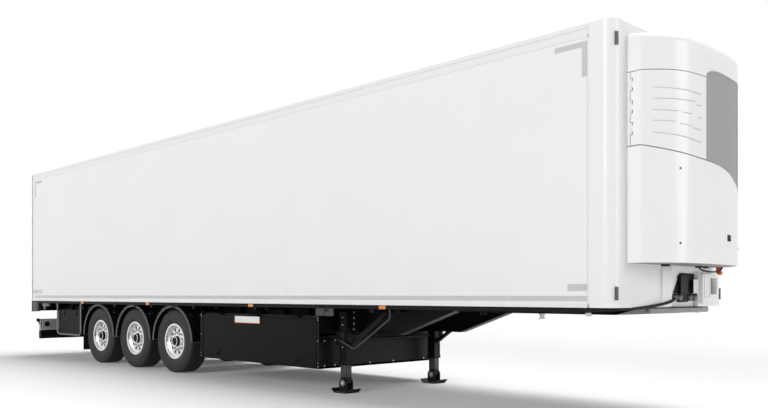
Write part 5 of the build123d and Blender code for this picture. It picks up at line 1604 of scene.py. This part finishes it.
@dataclass
class CoolingUnit(Assembly):
    """The cooling unit on the front wall, behind its curved cowl."""

    wall_x: float = 6.5075
    crown_x: float = 6.9575
    crown_fall: float = 8.995
    half: float = 1.03
    low: float = 1.64
    top: float = 3.865
    round_y: float = 0.4738
    round_reach: float = 0.2713
    round_radius: float = 0.6917
    round_start: float = 0.56
    cowl_bolts: Profile = ((-0.716, 1.83), (-0.716, 2.557), (0.716, 1.83))
    hose_x: float = 6.64
    hose_bends: Profile = (
        (0.3, 1.646), (0.312, 1.618), (0.42, 1.59), (0.64, 1.578), (0.84, 1.59),
        (0.935, 1.618), (0.945, 1.646))
    drain: Pair = (6.6, 0.945)
    gland_x: float = 6.62
    glands: Profile = ((-0.44, 0.042), (0.36, 0.035), (0.54, 0.03))
    tray_sink: float = 0.02
    tray_shoulder: Row = (0.98, 0.9, 0.8, 0.68, 0.56)
    tray_crown: Row = (0.4, 0.2, 0.0)
    corner: Point = (6.9385, -0.276, 3.601)
    corner_wide: float = 0.3
    corner_tall: float = 0.085
    # the painted shade line under each door rib: its radius, its drop below the rib and its steps
    shade_radius: float = 0.0042
    shade_drop: float = 0.0125
    shade_steps: int = 8
    ribs: Flats = (
        (-0.958, 3.343, -0.381, 3.328), (-0.958, 3.236, -0.494, 3.24),
        (-0.464, 3.214, -0.381, 3.21), (-0.958, 3.126, -0.742, 3.122),
        (-0.69, 3.114, -0.556, 3.112), (-0.443, 3.094, -0.381, 3.09),
        (-0.958, 3.026, -0.772, 3.019), (-0.721, 3.002, -0.567, 2.994),
        (-0.53, 2.98, -0.376, 2.972), (-0.958, 2.909, -0.371, 2.847))

    def dress(self) -> None:
        """Give the unit's CAD nodes their finishes."""
        self.coat(Palette.COWL, "unit_cap", "unit_door_right", "unit_door_left", "unit_lower_cowl",
                  "unit_frame")
        self.coat(Palette.INNER, "unit_engine")
        self.coat(Palette.MESH, "unit_grille")

    def on_skin(self, y: float, lift: float) -> Pair:
        """Find a place over the cowl, on its rounded shoulder or its flatter crown.

        Args:
            y: the place's distance from the middle, signed.
            lift: the height over the skin.

        Returns:
            The place's X and Y.
        """
        if abs(y) < self.round_start:
            return self.crown_x - y * y / self.crown_fall + lift, y
        slope = (abs(y) - self.round_y) / self.round_radius
        reach = self.round_radius + lift
        x = self.wall_x - self.round_reach + reach * math.sqrt(1.0 - slope * slope)
        return x, math.copysign(self.round_y + reach * slope, y)

    def fixings(self) -> None:
        """Set the cowl's fixing bolts on its shoulders, and the small dark latch low on it."""
        shape = Shape()
        for y, z in self.cowl_bolts:
            shape.rod((*self.on_skin(y, -0.004), z), (*self.on_skin(y, 0.005), z), 0.013, 20, 0.01)
        self.add("cowl_bolts", shape, Palette.DULL)
        shape = Shape().block((6.938, 0.25, 1.886), (6.9545, 0.34, 1.954), 0.005)
        shape.block((6.948, 0.262, 1.9), (6.957, 0.328, 1.916), 0.003)
        self.add("cowl_latch", shape, Palette.PLASTIC)

    def seal(self) -> None:
        """Run the grey seal between the unit and the front wall."""
        near, far = self.wall_x - 0.001, self.wall_x + 0.0055
        edge = (self.half - 0.002, self.low, self.half + 0.0045, self.top)
        shape = Shape().across([edge], near, far, 0.001, sign=-1).across([edge], near, far, 0.001)
        head = (-self.half, self.top + 0.022, self.half, self.top + 0.028)
        shape.across([head], near, far, 0.001)
        self.add("unit_seal", shape, Palette.PLATE)

    def grille_corner(self) -> None:
        """Round the upper right corner of the grille's opening."""
        x, low, high = self.corner
        turns = [math.radians(turn) for turn in range(90, -1, -15)]
        arc = [(x, low + self.corner_wide * (1.0 - math.cos(turn)),
                high - self.corner_tall * (1.0 - math.sin(turn))) for turn in turns]
        shape = Shape().drawn([self.corner, *arc], (0.01, 0.0, 0.0))
        self.add("grille_corner", shape, Palette.COWL)

    def tray(self) -> None:
        """Lay a beige sheet under the unit's white tray, as painted shade beneath the unit."""
        half = [(self.wall_x + 0.008, 1.01), (self.wall_x + 0.13, 1.01)]
        half += [self.on_skin(y, -self.tray_sink) for y in self.tray_shoulder + self.tray_crown]
        outline = half + [(x, -y) for x, y in reversed(half[:-1])]
        # painted shade: the beige sheet stands for the shade under the unit
        shape = Shape().drawn([(x, y, self.low - 0.002) for x, y in outline], (0.0, 0.0, 0.003))
        self.add("unit_tray_shade_sheet", shape, Palette.APRON, slot="unit_metal")

    def drains(self) -> None:
        """Lead the hose loop, the orange fitting and the glands under the unit's tray."""
        loop = [(self.hose_x, y, z) for y, z in self.hose_bends]
        self.tube("unit_hose_loop", loop, 0.0085, Palette.RUBBER)
        x, y = self.drain
        fitting = Shape().rod((x, y, self.low + 0.004), (x, y, 1.585), 0.026, 28, bevel=0.004)
        fitting.rod((x, y, 1.59), (x, y + 0.055, 1.572), 0.03, 28, 0.024, bevel=0.004)
        self.add("unit_drain_fitting", fitting, Palette.ORANGE)
        glands = Shape()
        for y, radius in self.glands:
            spot = (self.gland_x, y, self.low + 0.004)
            glands.studs([spot], (0.0, 0.0, -0.024), radius, 32, bevel=0.006)
        self.add("unit_tray_glands", glands, Palette.PLASTIC)

    def slots(self) -> None:
        """Lay a thin grey line under each rib of the right door, as painted shade for the shadow
        that each rib casts.
        """
        for row, (start, start_z, end, end_z) in enumerate(self.ribs):
            points = []
            for step in range(self.shade_steps + 1):
                share = step / self.shade_steps
                y, z = start + share * (end - start), start_z + share * (end_z - start_z)
                points.append((*self.on_skin(y, 0.0), z - self.shade_drop))
            self.tube(f"door_slot_{row + 1}", points, self.shade_radius, Palette.SLOT,
                      "unit_door_right")

    def build(self) -> None:
        """Build the unit's pieces."""
        for make in (self.fixings, self.seal, self.grille_corner, self.tray, self.drains,
                     self.slots):
            make()


@dataclass
class FrontPanel(Assembly):
    """The front wall under the unit: recess, couplings and service box."""

    wall_x: float = 6.5075
    recess_x: float = 6.4625
    board_outline: Profile = (
        (0.09, 1.345), (0.606, 1.345), (0.606, 1.565), (0.25, 1.565))
    board_cleats: Flats = (
        (0.155, 1.38, 0.195, 1.41), (0.1865, 1.425, 0.2265, 1.455), (0.218, 1.47, 0.258, 1.5))
    coupling_z: float = 1.3
    coupling_ys: Row = (0.04, 0.16, 0.42, 0.54)
    coupling_head: Profile = ((0.0, 0.0), (0.0, 0.034), (0.016, 0.034), (0.02, 0.03),
                              (0.02, 0.018), (0.03, 0.015), (0.03, 0.0))
    door: Flat = (0.69, 1.3, 0.845, 1.53)
    door_frame: float = 0.006
    box_x: float = 6.5475
    window: Flat = (0.87, 1.335, 1.03, 1.515)
    join_x: float = 6.2575
    corner_y: float = 1.05
    hose_reach: float = 0.232
    hose_start: Point = (6.1575, -1.268, 1.166)
    hose_end: Tuple[Point, ...] = ((6.508, -0.8, 1.193), (6.524, -0.5, 1.212),
                                   (6.542, -0.28, 1.236), (6.54, -0.08, 1.262), (6.512, 0.02, 1.29))

    def dress(self) -> None:
        """Give the front panel's CAD nodes their finishes."""
        self.coat(Palette.PLASTIC, "couplings")
        self.coat(Palette.COWL, "service_box")

    def recess(self) -> None:
        """Fix the dark sloping board in the recess, and the rounded upright band beside it."""
        outline = [(self.recess_x - 0.001, y, z) for y, z in self.board_outline]
        shape = Shape().drawn(outline, (0.012, 0.0, 0.0), 0.003)
        shape.across(self.board_cleats, self.recess_x + 0.01, self.recess_x + 0.018, 0.003, 2)
        self.add("recess_board", shape, Palette.LID)
        shape = Shape().block((self.wall_x - 0.006, -0.29, 1.206),
                              (self.wall_x + 0.022, -0.066, 1.632), 0.018, 4)
        self.add("recess_band", shape, Palette.RAIL)

    def couplings(self) -> None:
        """Fit the coupling heads and their covers, and the bare pale sheet beside them."""
        heads, z = Shape(), self.coupling_z
        for y in self.coupling_ys:
            heads.turned(self.coupling_head, (self.wall_x - 0.008, y, z), (1.0, 0.0, 0.0), 36)
        self.add("coupling_heads", heads, Palette.FRAME)
        rows = [(y - 0.03, z + 0.02, y + 0.03, z + 0.044) for y in self.coupling_ys]
        covers = Shape().across(rows, self.wall_x - 0.006, self.wall_x + 0.018, 0.006, 2)
        self.add("coupling_covers", covers, Palette.PLASTIC)
        tag = Shape().across([(0.505, 1.335, 0.645, 1.5)], self.wall_x - 0.0005,
                             self.wall_x + 0.003, 0.0008)
        self.add("bare_tag", tag, Palette.LABEL)

    def service_box(self) -> None:
        """Frame the service box's door, and set its window."""
        left, low, right, high = self.door
        wide, near, far = self.door_frame, self.box_x - 0.001, self.box_x + 0.003
        rows = ((left, low, right, low + wide), (left, high - wide, right, high),
                (left, low, left + wide, high), (right - wide, low, right, high))
        self.add("service_door_frame", Shape().across(rows, near, far), Palette.PLATE)
        window = Shape().across([self.window], near, far + 0.002, 0.002, 2)
        self.add("service_window", window, Palette.SMOKE)

    def neck(self) -> None:
        """Close the front of the neck with a pale apron, and lead a hose round its right corner."""
        shape = Shape().block((6.44, -0.5, 1.133), (6.494, 0.96, 1.202), 0.024, 4)
        self.add("neck_apron", shape, Palette.APRON)
        points = [self.hose_start]
        for step in range(7):
            turn = math.radians(15.0 * step)
            points.append((self.join_x + self.hose_reach * math.sin(turn),
                           -self.corner_y - self.hose_reach * math.cos(turn), 1.17 + 0.003 * step))
        self.tube("corner_hose", points + list(self.hose_end), 0.015, Palette.RUBBER)

    def build(self) -> None:
        """Build the front panel's pieces."""
        for make in (self.recess, self.couplings, self.service_box, self.neck):
            make()


WHEELS = [Wheel(axle, side, (x, side.value * WHEEL_Y, HUB_Z))
          for axle, x in AXLES.items() for side in Side]
ASSEMBLIES = (LoadBox(), RearDoors(), *WHEELS, RunningGear(), Chassis(), LandingGear(), PalletBox(),
              SideStorage(), RearEquipment(), CoolingUnit(), FrontPanel())


@dataclass
class Studio:
    """The pale floor, soft light and camera."""

    eye: Point = (10.2745, -8.725, 1.326)
    look: Point = (-0.760, 0.650, 0.0)
    lens: float = 37.617
    shift: Tuple[float, float] = (0.1354, 0.1185)
    floor_reach: float = 260.0
    floor_colour: Colour = (0.92, 0.92, 0.92)
    floor_lift: float = 0.09
    sky: float = 0.20
    lamps: Tuple[Tuple[str, Point, float, float], ...] = (
        ("overhead", (0.02, 0.45, 1.00), 2.15, 46.0),
        ("side_key", (0.10, -0.95, 0.30), 1.45, 26.0),
        ("front_fill", (0.85, 0.50, 0.22), 0.82, 26.0),
    )

    def floor(self) -> bpy.types.Object:
        """Lay the floor: it takes the shadow, and shows white where the camera sees it lit."""
        bm = bmesh.new()
        bmesh.ops.create_grid(bm, x_segments=1, y_segments=1, size=self.floor_reach)
        mesh = bpy.data.meshes.new("floor")
        bm.to_mesh(mesh)
        bm.free()
        sheet = ShaderSheet("studio_floor")
        tone = sheet.noise(0.4, 2.0)
        pale = sheet.mix(tone, scaled(self.floor_colour, 0.985), self.floor_colour)
        diffuse = sheet.node("ShaderNodeBsdfDiffuse", sockets={"Color": pale})
        seen = self.seen(sheet)
        glow = sheet.node("ShaderNodeEmission", sockets={"Strength": self.floor_lift * seen})
        both = sheet.node("ShaderNodeAddShader", sockets={0: diffuse, 1: glow})
        sheet.fill(sheet.tree.nodes["Material Output"], {"Surface": both})
        mesh.materials.append(sheet.material)
        piece = bpy.data.objects.new("floor", mesh)
        bpy.context.scene.collection.objects.link(piece)
        return piece

    def seen(self, sheet: NodeSheet) -> Signal:
        """Give 1 for what the camera sees, straight, mirrored or through glass."""
        camera = sheet.node("ShaderNodeLightPath", output="Is Camera Ray")
        mirror = sheet.node("ShaderNodeLightPath", output="Is Glossy Ray")
        through = sheet.node("ShaderNodeLightPath", output="Is Transmission Ray")
        return camera + mirror + through

    def light(self) -> None:
        """Hang a white sky and the wide soft lamps."""
        world = bpy.data.worlds.new("studio")
        world.use_nodes = True
        bpy.context.scene.world = world
        sheet = NodeSheet(world.node_tree)
        strength = self.sky + (1.0 - self.sky) * self.seen(sheet)
        sheet.fill(world.node_tree.nodes["Background"],
                   {"Color": (1.0, 1.0, 1.0), "Strength": strength})
        for name, toward, strength, spread in self.lamps:
            lamp = bpy.data.lights.new(name, "SUN")
            lamp.energy = strength
            lamp.angle = math.radians(spread)
            hung = bpy.data.objects.new(name, lamp)
            hung.rotation_euler = Vector(toward).to_track_quat("Z", "Y").to_euler()
            bpy.context.scene.collection.objects.link(hung)

    def camera(self) -> None:
        """Stand the camera where the photograph was taken from."""
        made = bpy.data.cameras.new("camera")
        made.lens = self.lens
        made.shift_x, made.shift_y = self.shift
        made.clip_end = 2.0 * self.floor_reach
        stand = bpy.data.objects.new("camera", made)
        stand.location = self.eye
        stand.rotation_euler = Vector(self.look).to_track_quat("-Z", "Y").to_euler()
        bpy.context.scene.collection.objects.link(stand)
        bpy.context.scene.camera = stand

    def build(self) -> List[bpy.types.Object]:
        """Set the stage and give its objects."""
        bpy.context.scene.view_settings.view_transform = "Standard"
        self.camera()
        self.light()
        return [self.floor()]


def main() -> None:
    """Dress the frame, add every sub-assembly's pieces and set the stage."""
    logging.basicConfig(level=logging.INFO, format="%(message)s")
    for assembly in ASSEMBLIES:
        assembly.dress()
        assembly.build()
        for piece in assembly.pieces:
            log.info("%s: %s", type(assembly).__name__, piece.name)
    for piece in Studio().build():
        log.info("stage: %s", piece.name)


if __name__ == "__main__":
    main()
